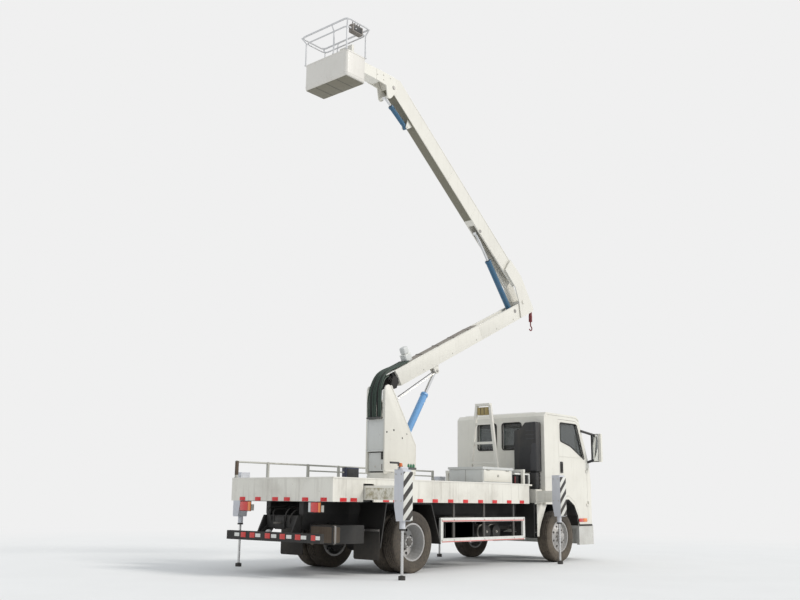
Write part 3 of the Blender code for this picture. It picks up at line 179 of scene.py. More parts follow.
def stretch(tree, vector, scale, location=(0, 0, 0), turn=(0, 0, 0)):
    node = tree.nodes.new("ShaderNodeMapping")
    node.inputs["Scale"].default_value = scale
    node.inputs["Location"].default_value = location
    node.inputs["Rotation"].default_value = turn
    link(tree, vector, node.inputs["Vector"])
    return node.outputs["Vector"]


def ramp(tree, value, low, high, out_low=0.0, out_high=1.0):
    node = tree.nodes.new("ShaderNodeMapRange")
    node.interpolation_type = "SMOOTHSTEP"
    node.inputs["From Min"].default_value = low
    node.inputs["From Max"].default_value = high
    node.inputs["To Min"].default_value = out_low
    node.inputs["To Max"].default_value = out_high
    link(tree, value, node.inputs["Value"])
    return node.outputs["Result"]


def object_place(tree):
    return tree.nodes.new("ShaderNodeTexCoord").outputs["Object"]


def axes_of(tree, vector):
    """X, Y and Z of a vector, apart."""
    axes = tree.nodes.new("ShaderNodeSeparateXYZ")
    link(tree, vector, axes.inputs[0])
    return axes.outputs


def raise_surface(tree, shader, height, strength=0.2, distance=0.003):
    bump = tree.nodes.new("ShaderNodeBump")
    bump.inputs["Strength"].default_value = strength
    bump.inputs["Distance"].default_value = distance
    link(tree, height, bump.inputs["Height"])
    link(tree, bump.outputs["Normal"], shader.inputs["Normal"])


def maths(tree, operation, a, b=None):
    node = tree.nodes.new("ShaderNodeMath")
    node.operation = operation
    for socket, value in zip(node.inputs, (a, b)):
        if value is None:
            continue
        if isinstance(value, (int, float)):
            socket.default_value = value
        else:
            link(tree, value, socket)
    return node.outputs[0]


def blend_colour(tree, factor, a, b):
    node = tree.nodes.new("ShaderNodeMix")
    node.data_type = "RGBA"
    link(tree, factor, node.inputs["Factor"])
    for socket, value in ((node.inputs[6], a), (node.inputs[7], b)):
        if isinstance(value, tuple):
            socket.default_value = (*value[:3], 1.0)
        else:
            link(tree, value, socket)
    return node.outputs[2]


def weather_group():
    """Colour, roughness and height of a painted or bare surface under dust, run-off and chips."""
    name = "Weathered surface"
    if name in bpy.data.node_groups:
        return bpy.data.node_groups[name]
    tree = bpy.data.node_groups.new(name, "ShaderNodeTree")
    sockets = (
        ("Colour", "NodeSocketColor"), ("Dust colour", "NodeSocketColor"), ("Chip colour", "NodeSocketColor"),
        ("Roughness", "NodeSocketFloat"), ("Dust", "NodeSocketFloat"), ("Run-off", "NodeSocketFloat"),
        ("Chips", "NodeSocketFloat"), ("Grain", "NodeSocketFloat"), ("Grain scale", "NodeSocketFloat"),
    )
    for label, kind in sockets:
        tree.interface.new_socket(label, in_out="INPUT", socket_type=kind)
    for label, kind in (("Colour", "NodeSocketColor"), ("Roughness", "NodeSocketFloat"),
                        ("Height", "NodeSocketFloat")):
        tree.interface.new_socket(label, in_out="OUTPUT", socket_type=kind)
    given = tree.nodes.new("NodeGroupInput").outputs
    out = tree.nodes.new("NodeGroupOutput").inputs
    place = object_place(tree)
    broad = ramp(tree, noise(tree, place, 1.3, 6, 0.62), 0.42, 0.72)
    runs = ramp(tree, noise(tree, stretch(tree, place, (7, 7, 0.55)), 2.0, 5, 0.6), 0.50, 0.74)
    fine = noise(tree, place, 24, 5, 0.65)
    speck = ramp(tree, noise(tree, place, 15, 5, 0.75), 0.665, 0.70)
    low = ramp(tree, axes_of(tree, place)["Z"], 1.6, 0.1)
    mottled = maths(tree, "MULTIPLY", low, ramp(tree, fine, 0.3, 0.7, 0.35, 1.0))
    dust = maths(tree, "ADD", maths(tree, "MULTIPLY", broad, 0.7), maths(tree, "MULTIPLY", mottled, 0.9))
    dust = maths(tree, "MULTIPLY", dust, given["Dust"])
    runs = maths(tree, "MULTIPLY", runs, given["Run-off"])
    grime = tree.nodes.new("ShaderNodeClamp")
    link(tree, maths(tree, "ADD", dust, runs), grime.inputs[0])
    chips = maths(tree, "MULTIPLY", speck, given["Chips"])
    colour = blend_colour(tree, grime.outputs[0], given["Colour"], given["Dust colour"])
    colour = blend_colour(tree, chips, colour, given["Chip colour"])
    link(tree, colour, out["Colour"])
    rough = maths(tree, "ADD", given["Roughness"], maths(tree, "MULTIPLY", grime.outputs[0], 0.35))
    rough = maths(tree, "ADD", rough, ramp(tree, fine, 0.3, 0.7, -0.05, 0.06))
    link(tree, rough, out["Roughness"])
    grain = tree.nodes.new("ShaderNodeTexNoise")
    grain.inputs["Detail"].default_value = 3.0
    link(tree, place, grain.inputs["Vector"])
    link(tree, given["Grain scale"], grain.inputs["Scale"])
    bumps = maths(tree, "MULTIPLY", grain.outputs["Fac"], given["Grain"])
    link(tree, maths(tree, "SUBTRACT", bumps, maths(tree, "MULTIPLY", chips, 0.25)), out["Height"])
    return tree


RUST = (0.13, 0.055, 0.022)
PRIMER = (0.16, 0.15, 0.14)

# Each finish: colour, roughness, metallic, dust, run-off, chips, grain, grain scale, chip colour, coat.
FINISHES = {
    "cream enamel": ("cream", 0.36, 0.0, 0.11, 0.08, 0.20, 0.05, 60, RUST, 0.25),
    "light grey enamel": ("grey", 0.40, 0.0, 0.11, 0.08, 0.22, 0.06, 60, RUST, 0.15),
    "outrigger grey": ((0.60, 0.61, 0.65), 0.42, 0.0, 0.18, 0.14, 0.60, 0.06, 60, RUST, 0.10),
    "chassis black": ("black", 0.60, 0.0, 0.04, 0.03, 0.10, 0.30, 90, RUST, 0.0),
    "wheel silver": ((0.46, 0.46, 0.46), 0.42, 0.35, 0.38, 0.10, 0.60, 0.08, 80, RUST, 0.0),
    "tyre rubber": ("rubber", 0.82, 0.0, 0.50, 0.05, 0.0, 0.35, 120, PRIMER, 0.0),
    "black rubber": ((0.016, 0.016, 0.016), 0.70, 0.0, 0.10, 0.05, 0.0, 0.30, 140, PRIMER, 0.0),
    "hose cover": ((0.026, 0.050, 0.037), 0.58, 0.0, 0.14, 0.05, 0.0, 0.55, 240, PRIMER, 0.0),
    "light blue enamel": ("light_blue", 0.30, 0.0, 0.12, 0.12, 0.35, 0.04, 60, PRIMER, 0.4),
    "dark blue enamel": ("dark_blue", 0.34, 0.0, 0.14, 0.12, 0.35, 0.04, 60, PRIMER, 0.3),
    "hard chrome": ((0.72, 0.73, 0.74), 0.12, 1.0, 0.06, 0.03, 0.0, 0.02, 400, PRIMER, 0.0),
    "bare steel": ((0.36, 0.35, 0.34), 0.42, 0.9, 0.25, 0.10, 0.75, 0.15, 160, RUST, 0.0),
    "zinc plate": ((0.55, 0.54, 0.50), 0.38, 0.8, 0.20, 0.10, 0.45, 0.10, 200, RUST, 0.0),
    "hook red": ("hook_red", 0.48, 0.1, 0.25, 0.10, 0.85, 0.15, 90, RUST, 0.0),
    "bumper grey": ((0.62, 0.62, 0.59), 0.42, 0.0, 0.26, 0.10, 0.45, 0.05, 70, PRIMER, 0.1),
    "dark plastic": ((0.022, 0.023, 0.025), 0.55, 0.0, 0.18, 0.10, 0.0, 0.45, 420, PRIMER, 0.0),
    "cab trim": ((0.050, 0.050, 0.054), 0.72, 0.0, 0.06, 0.0, 0.0, 0.55, 300, PRIMER, 0.0),
    "railing grey": ((0.42, 0.42, 0.39), 0.48, 0.2, 0.26, 0.20, 0.90, 0.10, 120, RUST, 0.0),
    "box grey": ((0.60, 0.61, 0.60), 0.46, 0.0, 0.18, 0.14, 0.45, 0.06, 60, RUST, 0.0),
    "rusty brown": ((0.085, 0.060, 0.042), 0.78, 0.1, 0.30, 0.20, 0.90, 0.40, 70, (0.20, 0.08, 0.03), 0.0),
    "red reflector": ((0.62, 0.008, 0.012), 0.30, 0.0, 0.04, 0.03, 0.0, 0.25, 500, PRIMER, 0.2),
    "white marking": ((0.78, 0.78, 0.75), 0.40, 0.0, 0.12, 0.08, 0.0, 0.05, 200, PRIMER, 0.2),
    "red marking": ((0.62, 0.030, 0.026), 0.38, 0.0, 0.10, 0.06, 0.0, 0.05, 200, PRIMER, 0.2),
    "amber lens": ((0.80, 0.20, 0.02), 0.18, 0.0, 0.08, 0.05, 0.0, 0.30, 300, PRIMER, 0.8),
    "red lens": ((0.62, 0.015, 0.012), 0.18, 0.0, 0.14, 0.05, 0.0, 0.30, 300, PRIMER, 0.8),
    "clear lens": ((0.62, 0.64, 0.64), 0.16, 0.0, 0.14, 0.05, 0.0, 0.40, 260, PRIMER, 0.8),
    "navy plastic": ((0.016, 0.022, 0.055), 0.45, 0.0, 0.20, 0.12, 0.0, 0.25, 300, PRIMER, 0.1),
    "orange cap": ((0.62, 0.13, 0.015), 0.42, 0.0, 0.15, 0.05, 0.0, 0.15, 300, PRIMER, 0.1),
    "valve green": ((0.035, 0.20, 0.10), 0.42, 0.0, 0.20, 0.10, 0.30, 0.10, 100, PRIMER, 0.1),
    "cast iron": ((0.10, 0.10, 0.10), 0.62, 0.4, 0.40, 0.10, 0.50, 0.60, 140, RUST, 0.0),
    "seat fabric": ((0.060, 0.062, 0.070), 0.90, 0.0, 0.10, 0.0, 0.0, 0.80, 480, PRIMER, 0.0),
    # Near-black for holes, openings, gaps and pockets: painted shade where their insides lie in shadow.
    "painted recess shade": ((0.010, 0.010, 0.011), 0.80, 0.0, 0.12, 0.0, 0.0, 0.20, 60, PRIMER, 0.0),
    "mirror glass": ((0.76, 0.78, 0.78), 0.06, 1.0, 0.06, 0.05, 0.0, 0.0, 60, PRIMER, 0.0),
    "worn amber": ((0.34, 0.26, 0.10), 0.50, 0.0, 0.30, 0.20, 0.90, 0.20, 90, PRIMER, 0.1),
    "rail paint": ((0.66, 0.66, 0.67), 0.42, 0.0, 0.12, 0.12, 0.60, 0.08, 120, RUST, 0.0),
    "painted tub bottom shade": ((0.21, 0.195, 0.15), 0.66, 0.0, 0.30, 0.10, 0.60, 0.30, 60, RUST, 0.0),
    "control grey": ((0.21, 0.19, 0.17), 0.55, 0.0, 0.20, 0.10, 0.0, 0.25, 200, PRIMER, 0.0),
    "basket beige": ((0.69, 0.665, 0.62), 0.40, 0.0, 0.14, 0.10, 0.40, 0.05, 60, RUST, 0.2),
    "boom shade": ((0.20, 0.19, 0.145), 0.60, 0.0, 0.30, 0.10, 0.60, 0.20, 60, RUST, 0.0),
    "mud black": ((0.014, 0.014, 0.014), 0.75, 0.0, 0.16, 0.05, 0.0, 0.30, 120, PRIMER, 0.0),
}


def new_material(name):
    material = bpy.data.materials.new(name)
    material.use_nodes = True
    return material, material.node_tree, material.node_tree.nodes["Principled BSDF"]


def finish(name):
    """The material of that finish, made the first time that it is asked for."""
    title = name.capitalize()
    if title in bpy.data.materials:
        return bpy.data.materials[title]
    if name in SPECIAL:
        return SPECIAL[name](title)
    colour, rough, metal, dust, runs, chips, grain, scale, chip_colour, coat = FINISHES[name]
    colours = bpy.context.scene.truck_colours
    if isinstance(colour, str):
        colour = tuple(getattr(colours, colour))
    material, tree, shader = new_material(title)
    group = tree.nodes.new("ShaderNodeGroup")
    group.node_tree = weather_group()
    values = {
        "Colour": (*colour, 1), "Dust colour": (*colours.dust, 1), "Chip colour": (*chip_colour, 1),
        "Roughness": rough, "Dust": dust, "Run-off": runs, "Chips": chips, "Grain": grain,
        "Grain scale": scale,
    }
    for socket, value in values.items():
        group.inputs[socket].default_value = value
    link(tree, group.outputs["Colour"], shader.inputs["Base Color"])
    link(tree, group.outputs["Roughness"], shader.inputs["Roughness"])
    raise_surface(tree, shader, group.outputs["Height"], 0.35, 0.004)
    shader.inputs["Metallic"].default_value = metal
    shader.inputs["Coat Weight"].default_value = coat
    shader.inputs["Coat Roughness"].default_value = 0.15
    return material


def dusty_nodes(tree, shader, colour, rough, dust, chips=0.0):
    """Adds the shared weathering round a patterned colour."""
    group = tree.nodes.new("ShaderNodeGroup")
    group.node_tree = weather_group()
    group.inputs["Dust colour"].default_value = (*bpy.context.scene.truck_colours.dust, 1)
    group.inputs["Chip colour"].default_value = (*RUST, 1)
    for socket, value in (("Roughness", rough), ("Dust", dust), ("Run-off", dust * 0.7), ("Chips", chips),
                          ("Grain", 0.08), ("Grain scale", 90)):
        group.inputs[socket].default_value = value
    link(tree, colour, group.inputs["Colour"])
    link(tree, group.outputs["Colour"], shader.inputs["Base Color"])
    link(tree, group.outputs["Roughness"], shader.inputs["Roughness"])
    return group


def striped_board(title):
    """Black stripes that slant across a white board."""
    material, tree, shader = new_material(title)
    axes = object_axes(tree)
    slant = maths(tree, "SUBTRACT", axes["Z"], maths(tree, "MULTIPLY", axes["X"], 0.95))
    share = maths(tree, "FRACT", maths(tree, "DIVIDE", slant, bpy.context.scene.truck_trim.stripe_pitch))
    mask = ramp(tree, share, 0.49, 0.52)
    colour = blend_colour(tree, mask, (0.70, 0.70, 0.66), (0.014, 0.014, 0.015))
    group = dusty_nodes(tree, shader, colour, 0.42, 0.26, 0.4)
    raise_surface(tree, shader, group.outputs["Height"])
    return material


def tread_plate(title):
    """Cream deck plate with raised lozenges, worn to bare metal on their tops."""
    material, tree, shader = new_material(title)
    place = object_place(tree)
    axes = axes_of(tree, place)
    plus = maths(tree, "ADD", axes["X"], axes["Y"])
    minus = maths(tree, "SUBTRACT", axes["X"], axes["Y"])
    waves = [maths(tree, "SINE", maths(tree, "MULTIPLY", value, 150.0)) for value in (plus, minus)]
    lozenge = ramp(tree, maths(tree, "MULTIPLY", waves[0], waves[1]), 0.35, 0.75)
    facing = axes_of(tree, tree.nodes.new("ShaderNodeNewGeometry").outputs["Normal"])
    top = ramp(tree, facing["Z"], 0.7, 0.9)
    raised = maths(tree, "MULTIPLY", lozenge, top)
    cream = tuple(bpy.context.scene.truck_colours.cream)
    worn = maths(tree, "MULTIPLY", raised, ramp(tree, noise(tree, place, 3.0, 5), 0.4, 0.62))
    colour = blend_colour(tree, worn, cream, (0.34, 0.32, 0.29))
    group = dusty_nodes(tree, shader, colour, 0.40, 0.36, 0.55)
    total = maths(tree, "ADD", raised, maths(tree, "MULTIPLY", group.outputs["Height"], 0.5))
    raise_surface(tree, shader, total, 0.35, 0.004)
    return material


def cab_glass(title):
    """Tinted glass with a film of dust."""
    material, tree, shader = new_material(title)
    place = object_place(tree)
    film = ramp(tree, noise(tree, place, 2.2, 6, 0.65), 0.35, 0.8, 0.02, 0.16)
    colour = blend_colour(tree, film, (0.26, 0.28, 0.28), (0.34, 0.33, 0.30))
    link(tree, colour, shader.inputs["Base Color"])
    link(tree, film, shader.inputs["Roughness"])
    shader.inputs["Transmission Weight"].default_value = 0.88
    shader.inputs["IOR"].default_value = 1.46
    return material


def object_axes(tree):
    return axes_of(tree, object_place(tree))


def between(tree, value, low, high):
    """1 where the value lies between two limits."""
    return maths(tree, "MULTIPLY", maths(tree, "GREATER_THAN", value, low),
                 maths(tree, "LESS_THAN", value, high))


def two_tone(title, mask_of, first, second, rough, metal=0.0, dust=0.2, chips=0.4):
    """A weathered finish whose colour changes where a mask of the object's axes is 1."""
    material, tree, shader = new_material(title)
    axes = object_axes(tree)
    mask = mask_of(tree, axes)
    colour = blend_colour(tree, mask, first, second if isinstance(second, tuple) else second(tree, axes))
    group = dusty_nodes(tree, shader, colour, rough, dust, chips)
    raise_surface(tree, shader, group.outputs["Height"])
    if metal:
        link(tree, maths(tree, "MULTIPLY", maths(tree, "SUBTRACT", 1.0, mask), metal),
             shader.inputs["Metallic"])
    return material


def jack_steel(title):
    """A bright jack rod on a black foot."""
    def foot(tree, axes):
        return maths(tree, "LESS_THAN", axes["Z"], 0.068)
    return two_tone(title, foot, (0.66, 0.66, 0.66), (0.016, 0.016, 0.016), 0.26, 0.85, 0.10, 0.2)


def guard_paint(title):
    """A white guard frame on dark hangers."""
    def hangers(tree, axes):
        window = maths(tree, "MULTIPLY", between(tree, axes["Z"], 0.541, 0.814),
                       between(tree, axes["X"], -1.158, 1.298))
        return maths(tree, "MAXIMUM", window, maths(tree, "GREATER_THAN", axes["Z"], 0.886))
    return two_tone(title, hangers, (0.76, 0.76, 0.73), (0.045, 0.045, 0.045), 0.42, 0.0, 0.20, 0.3)


def outrigger_paint(title):
    """Grey legs on cream beams that are worn brown where they slide."""
    def beams(tree, axes):
        across = maths(tree, "ABSOLUTE", axes["Y"])
        front = maths(tree, "MULTIPLY", maths(tree, "GREATER_THAN", axes["X"], 0.0), 0.410)
        inside = maths(tree, "LESS_THAN", across, maths(tree, "SUBTRACT", 1.820, front))
        return maths(tree, "MULTIPLY", between(tree, axes["Z"], 1.13, 1.42), inside)

    def patches(tree, axes):
        across = maths(tree, "ABSOLUTE", axes["Y"])
        worn = maths(tree, "MULTIPLY", between(tree, axes["Z"], 1.18, 1.355),
                     between(tree, across, 1.22, 1.80))
        place = object_place(tree)
        rub = maths(tree, "MULTIPLY", worn,
                    ramp(tree, noise(tree, place, 9.0, 6, 0.7), 0.38, 0.64, 0.10, 0.85))
        rear = maths(tree, "SUBTRACT", 1.0,
                     maths(tree, "MULTIPLY", maths(tree, "GREATER_THAN", axes["X"], 0.0), 0.75))
        return blend_colour(tree, maths(tree, "MULTIPLY", rub, rear), (0.80, 0.78, 0.71), (0.30, 0.26, 0.14))
    return two_tone(title, beams, (0.60, 0.61, 0.65), patches, 0.44, 0.0, 0.08, 0.3)


def subframe_paint(title):
    """A black frame whose front housing and slewing pedestal are cream."""
    def cream(tree, axes):
        housing = maths(tree, "MULTIPLY", between(tree, axes["X"], 1.90, 2.20),
                        maths(tree, "GREATER_THAN", axes["Z"], 1.13))
        return maths(tree, "MAXIMUM", housing, maths(tree, "GREATER_THAN", axes["Z"], 1.5115))
    return two_tone(title, cream, (0.012, 0.012, 0.012), (0.72, 0.70, 0.64), 0.5, 0.0, 0.06, 0.1)


def cab_paint(title):
    """A cream shell that is black inside its wheel arches."""
    def inner(tree, axes):
        arch = maths(tree, "MULTIPLY", between(tree, axes["X"], 2.36, 3.50),
                     maths(tree, "LESS_THAN", axes["Z"], 1.235))
        return maths(tree, "MULTIPLY", arch,
                     maths(tree, "LESS_THAN", maths(tree, "ABSOLUTE", axes["Y"]), 1.104))
    return two_tone(title, inner, (0.75, 0.73, 0.665), (0.014, 0.014, 0.014), 0.36, 0.0, 0.10, 0.25)


SPECIAL = {
    "subframe paint": subframe_paint, "cab paint": cab_paint,
    "striped board": striped_board, "tread plate": tread_plate, "cab glass": cab_glass,
    "jack steel": jack_steel, "guard paint": guard_paint, "outrigger paint": outrigger_paint,
}

NODE_FINISHES = {
    "chassis black": ("frame", "rear_axle", "front_axle", "knuckle_left", "knuckle_right", "underrun_bar"),
    "subframe paint": ("subframe",),
    "cab paint": ("cab",),
    "cast iron": ("engine",),
    "tread plate": ("deck",),
    "cream enamel": ("door_left", "door_right", "basket_tub", "basket_arm"),
    "light grey enamel": ("turret", "lower_boom", "upper_boom", "boom_rest"),
    "outrigger paint": ("outrigger_rear_left", "outrigger_rear_right", "outrigger_front_left",
                        "outrigger_front_right"),
    "guard paint": ("side_guard_left", "side_guard_right"),
    "railing grey": ("railing",),
    "rail paint": ("basket_rails",),
    # The equipment box is grey with a cream door on its lit side: the grey on its rear face is painted shade
    # of the same cream paint.
    "box grey": ("equipment_box", "fuel_tank"),
    "dark plastic": ("air_intake", "dashboard"),
    "bumper grey": ("bumper",),
    # The grille behind its bars is near-black: its own dark colour, deepened by painted shade in the
    # openings.
    "painted recess shade": ("grille",),
    "cab glass": ("windscreen", "rear_window", "door_glass_left", "door_glass_right"),
    "seat fabric": ("seat_bench",),
    "light blue enamel": ("lift_barrel",),
    "dark blue enamel": ("fold_barrel", "level_barrel"),
    "hard chrome": ("lift_rod", "fold_rod", "level_rod"),
    "jack steel": ("jack_rear_left", "jack_rear_right", "jack_front_left", "jack_front_right"),
    "hook red": ("hook",),
    "hose cover": ("hose_bundle",),
    "wheel silver": ("rim_front_left", "rim_front_right", "rim_rear_left", "rim_rear_right"),
}


# Shapes, each a bmesh of its own

def block(low, high, edge=0.0, segments=2):
    """A box between two corners, with rounded edges."""
    bm = bmesh.new()
    centre = Vector((low[i] + high[i]) / 2 for i in range(3))
    size = Vector(abs(high[i] - low[i]) for i in range(3))
    bmesh.ops.create_cube(bm, size=1.0, matrix=Matrix.LocRotScale(centre, None, size))
    if edge:
        bmesh.ops.bevel(bm, geom=bm.edges[:], offset=edge, segments=segments, profile=0.5, affect="EDGES",
                        material=-1)
    return bm


def along(start, end):
    """The turn that lays +Z along a line, and the line's length."""
    run = Vector(end) - Vector(start)
    return run.to_track_quat("Z", "Y").to_matrix().to_4x4(), run.length


def rod(start, end, radius, end_radius=None, sides=16, edge=0.0):
    """A round bar between two points, with rounded ends."""
    bm = bmesh.new()
    turn, length = along(start, end)
    middle = (Vector(start) + Vector(end)) / 2
    end_radius = radius if end_radius is None else end_radius
    bmesh.ops.create_cone(bm, cap_ends=True, segments=sides, radius1=radius, radius2=end_radius, depth=length,
                          matrix=Matrix.Translation(middle) @ turn)
    if edge:
        rims = [e for e in bm.edges if any(len(f.verts) == sides for f in e.link_faces)]
        bmesh.ops.bevel(bm, geom=rims, offset=edge, segments=2, profile=0.5, affect="EDGES", material=-1)
    return bm


def pin(at, half, radius, sides=16):
    """A round bar across the machine, through a point of its side view."""
    return rod((at[0], -half, at[1]), (at[0], half, at[1]), radius, None, sides)


def turned(profile, steps=32, closed=False):
    """A profile of (radius, height) spun about Z."""
    bm = bmesh.new()
    points = [bm.verts.new((r, 0, h)) for r, h in profile]
    pairs = list(zip(points, points[1:]))
    if closed:
        pairs.append((points[-1], points[0]))
    edges = [bm.edges.new(pair) for pair in pairs]
    bmesh.ops.spin(bm, geom=points + edges, cent=(0, 0, 0), axis=(0, 0, 1), angle=math.tau, steps=steps,
                   use_merge=True)
    bmesh.ops.remove_doubles(bm, verts=bm.verts[:], dist=1e-5)
    bmesh.ops.recalc_face_normals(bm, faces=bm.faces[:])
    return bm


def put(bm, at, facing=(0, 0, 1)):
    """Moves a shape made about the origin to a point, its +Z turned to face a way."""
    turn = Vector(facing).to_track_quat("Z", "Y").to_matrix().to_4x4()
    bm.transform(Matrix.Translation(at) @ turn)
    return bm


def plate(outline, axis, low, high, edge=0.0):
    """A flat outline given a thickness along X, Y or Z."""
    bm = bmesh.new()
    order = {"X": lambda a, b, c: (c, a, b), "Y": lambda a, b, c: (a, c, b), "Z": lambda a, b,
             c: (a, b, c)}[axis]
    face = bm.faces.new([bm.verts.new(order(a, b, low)) for a, b in outline])
    made = bmesh.ops.extrude_face_region(bm, geom=[face])
    moved = [v for v in made["geom"] if isinstance(v, bmesh.types.BMVert)]
    bmesh.ops.translate(bm, verts=moved, vec=order(0, 0, high - low))
    bmesh.ops.recalc_face_normals(bm, faces=bm.faces[:])
    if edge:
        bmesh.ops.bevel(bm, geom=bm.edges[:], offset=edge, segments=2, profile=0.5, affect="EDGES",
                        material=-1)
    return bm


def pipe(points, radius, sides=3, closed=False, smooth=True):
    """A pipe or hose through the points, as a mesh."""
    curve = bpy.data.curves.new("pipe", "CURVE")
    curve.dimensions = "3D"
    curve.bevel_depth = radius
    curve.bevel_resolution = sides
    curve.use_fill_caps = True
    if smooth:
        spline = curve.splines.new("BEZIER")
        spline.bezier_points.add(len(points) - 1)
        for target, point in zip(spline.bezier_points, points):
            target.co = point
            target.handle_left_type = target.handle_right_type = "AUTO"
        spline.resolution_u = 6
    else:
        spline = curve.splines.new("POLY")
        spline.points.add(len(points) - 1)
        for target, point in zip(spline.points, points):
            target.co = (*point, 1)
    spline.use_cyclic_u = closed
    holder = bpy.data.objects.new("pipe", curve)
    mesh = bpy.data.meshes.new_from_object(holder)
    bm = bmesh.new()
    bm.from_mesh(mesh)
    bmesh.ops.remove_doubles(bm, verts=bm.verts[:], dist=1e-5)
    bmesh.ops.recalc_face_normals(bm, faces=bm.faces[:])
    bpy.data.objects.remove(holder)
    bpy.data.curves.remove(curve)
    bpy.data.meshes.remove(mesh)
    return bm


def arc(centre, radius, start, end, steps):
    """Points of a part of a circle, between two angles in degrees."""
    turns = [math.radians(start + (end - start) * i / steps) for i in range(steps + 1)]
    return [(centre[0] + radius * math.cos(t), centre[1] + radius * math.sin(t)) for t in turns]


def ring(inner, outer, half, at, facing=(0, 1, 0), steps=24):
    """A plain bushing round a pin."""
    profile = [(inner, -half), (outer, -half), (outer, half), (inner, half)]
    return put(turned(profile, steps, closed=True), at, facing)


def pin_head(radius, rim=0.006, height=0.012):
    """The profile of a flat head on a pin's end."""
    return [(0, height), (radius, height), (radius + rim, 0), (0, 0)]


def spaced(count, radius, start=0.0):
    """Points spaced evenly round a circle about the origin."""
    for i in range(count):
        turn = math.tau * (i + start) / count
        yield radius * math.cos(turn), radius * math.sin(turn)


def bolt(at, facing, radius=0.011, height=0.008):
    """A hexagon head on its washer."""
    bm = turned([(0, 0), (radius * 1.45, 0), (radius * 1.45, height * 0.25), (0, height * 0.25)], 10)
    head = rod((0, 0, height * 0.2), (0, 0, height * 1.2), radius, radius * 0.92, 6)
    join(bm, head)
    return put(bm, at, facing)


def join(bm, other, matrix=None):
    """Adds another shape's faces to bm and frees the other."""
    mesh = bpy.data.meshes.new("join")
    if matrix is not None:
        other.transform(matrix)
    other.to_mesh(mesh)
    bm.from_mesh(mesh)
    bpy.data.meshes.remove(mesh)
    other.free()
    return bm


class Piece:
    """One piece in the making: shapes in one frame, each with its finish. A piece that names no body is left
    unattached.
    """

    def __init__(self, name, body, place=TRUCK):
        self.name = name
        self.body = body
        self.place = place
        self.bm = bmesh.new()
        self.finishes = []

    def add(self, shape, colour):
        if colour not in self.finishes:
            self.finishes.append(colour)
        first = len(self.bm.faces)
        join(self.bm, shape)
        self.bm.faces.ensure_lookup_table()
        for face in self.bm.faces[first:]:
            face.material_index = self.finishes.index(colour)

    def done(self, angle=38, modifiers=()):
        self.bm.transform(self.place)
        mesh = bpy.data.meshes.new(self.name)
        self.bm.to_mesh(mesh)
        self.bm.free()
        mesh.shade_smooth()
        mesh.set_sharp_from_angle(angle=math.radians(angle))
        for name in self.finishes:
            mesh.materials.append(finish(name))
        piece = bpy.data.objects.new(self.name, mesh)
        bpy.context.scene.collection.objects.link(piece)
        if self.body:
            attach(piece, self.body)
        return piece


# Stage

class TRUCK_OT_stage(bpy.types.Operator):
    """Floor, soft light, background and the camera at the photograph's angle"""

    bl_idname = "truck.stage"
    bl_label = "Stage and camera"

    def execute(self, context):
        settings = context.scene.truck_stage
        make_floor(settings.floor_size)
        make_world(settings.sky_strength)
        make_lamps(settings.key_strength)
        make_camera(settings.lens)
        context.scene.view_settings.view_transform = "Standard"
        return {"FINISHED"}


BACKGROUND = (0.871, 0.871, 0.871)
FLOOR_FADE = (7.0, 22.0)


def seen_directly(tree):
    """A mask that is 1 for rays from the camera and in glossy and clear surfaces."""
    rays = tree.nodes.new("ShaderNodeLightPath").outputs
    total = maths(tree, "ADD", rays["Is Camera Ray"], rays["Is Glossy Ray"])
    total = maths(tree, "ADD", total, rays["Is Transmission Ray"])
    return maths(tree, "MINIMUM", total, 1.0)


def make_floor(size):
    bm = bmesh.new()
    bmesh.ops.create_grid(bm, x_segments=8, y_segments=8, size=size / 2)
    mesh = bpy.data.meshes.new("floor")
    bm.to_mesh(mesh)
    bm.free()
    floor = bpy.data.objects.new("floor", mesh)
    bpy.context.scene.collection.objects.link(floor)
    material, tree, shader = new_material("Pale floor")
    place = object_place(tree)
    tone = ramp(tree, noise(tree, place, 0.6, 4), 0.3, 0.7)
    link(tree, blend_colour(tree, tone, (0.78, 0.78, 0.78), (0.80, 0.80, 0.80)), shader.inputs["Base Color"])
    shader.inputs["Roughness"].default_value = 0.9
    distance = tree.nodes.new("ShaderNodeVectorMath")
    distance.operation = "LENGTH"
    link(tree, place, distance.inputs[0])
    far = ramp(tree, distance.outputs["Value"], *FLOOR_FADE)
    plain = tree.nodes.new("ShaderNodeEmission")
    plain.inputs["Color"].default_value = (*BACKGROUND, 1)
    mix = tree.nodes.new("ShaderNodeMixShader")
    link(tree, maths(tree, "MULTIPLY", far, seen_directly(tree)), mix.inputs[0])
    link(tree, shader.outputs[0], mix.inputs[1])
    link(tree, plain.outputs[0], mix.inputs[2])
    link(tree, mix.outputs[0], tree.nodes["Material Output"].inputs["Surface"])
    mesh.materials.append(material)


def make_world(strength):
    world = bpy.data.worlds.new("Soft sky")
    bpy.context.scene.world = world
    world.use_nodes = True
    tree = world.node_tree
    sky = tree.nodes["Background"]
    sky.inputs["Color"].default_value = (0.93, 0.97, 1.0, 1)
    sky.inputs["Strength"].default_value = strength
    plain = tree.nodes.new("ShaderNodeBackground")
    plain.inputs["Color"].default_value = (*BACKGROUND, 1)
    mix = tree.nodes.new("ShaderNodeMixShader")
    link(tree, seen_directly(tree), mix.inputs[0])
    link(tree, sky.outputs[0], mix.inputs[1])
    link(tree, plain.outputs[0], mix.inputs[2])
    link(tree, mix.outputs[0], tree.nodes["World Output"].inputs["Surface"])


SUN_AT = (0.42, -0.80, 0.62)


def make_lamps(strength):
    key = bpy.data.lights.new("key", "SUN")
    key.energy = strength
    key.angle = math.radians(14)
    key.color = (1.0, 0.97, 0.92)
    lamp = bpy.data.objects.new("key", key)
    lamp.rotation_euler = Vector(SUN_AT).to_track_quat("Z", "Y").to_euler()
    bpy.context.scene.collection.objects.link(lamp)


# The camera of the photograph, in metres and degrees.
CAMERA_AT = (-14.009, -11.326, 1.158)
CAMERA_YAW = 41.154
CAMERA_TILT = 12.307
CAMERA_ROLL = 0.666


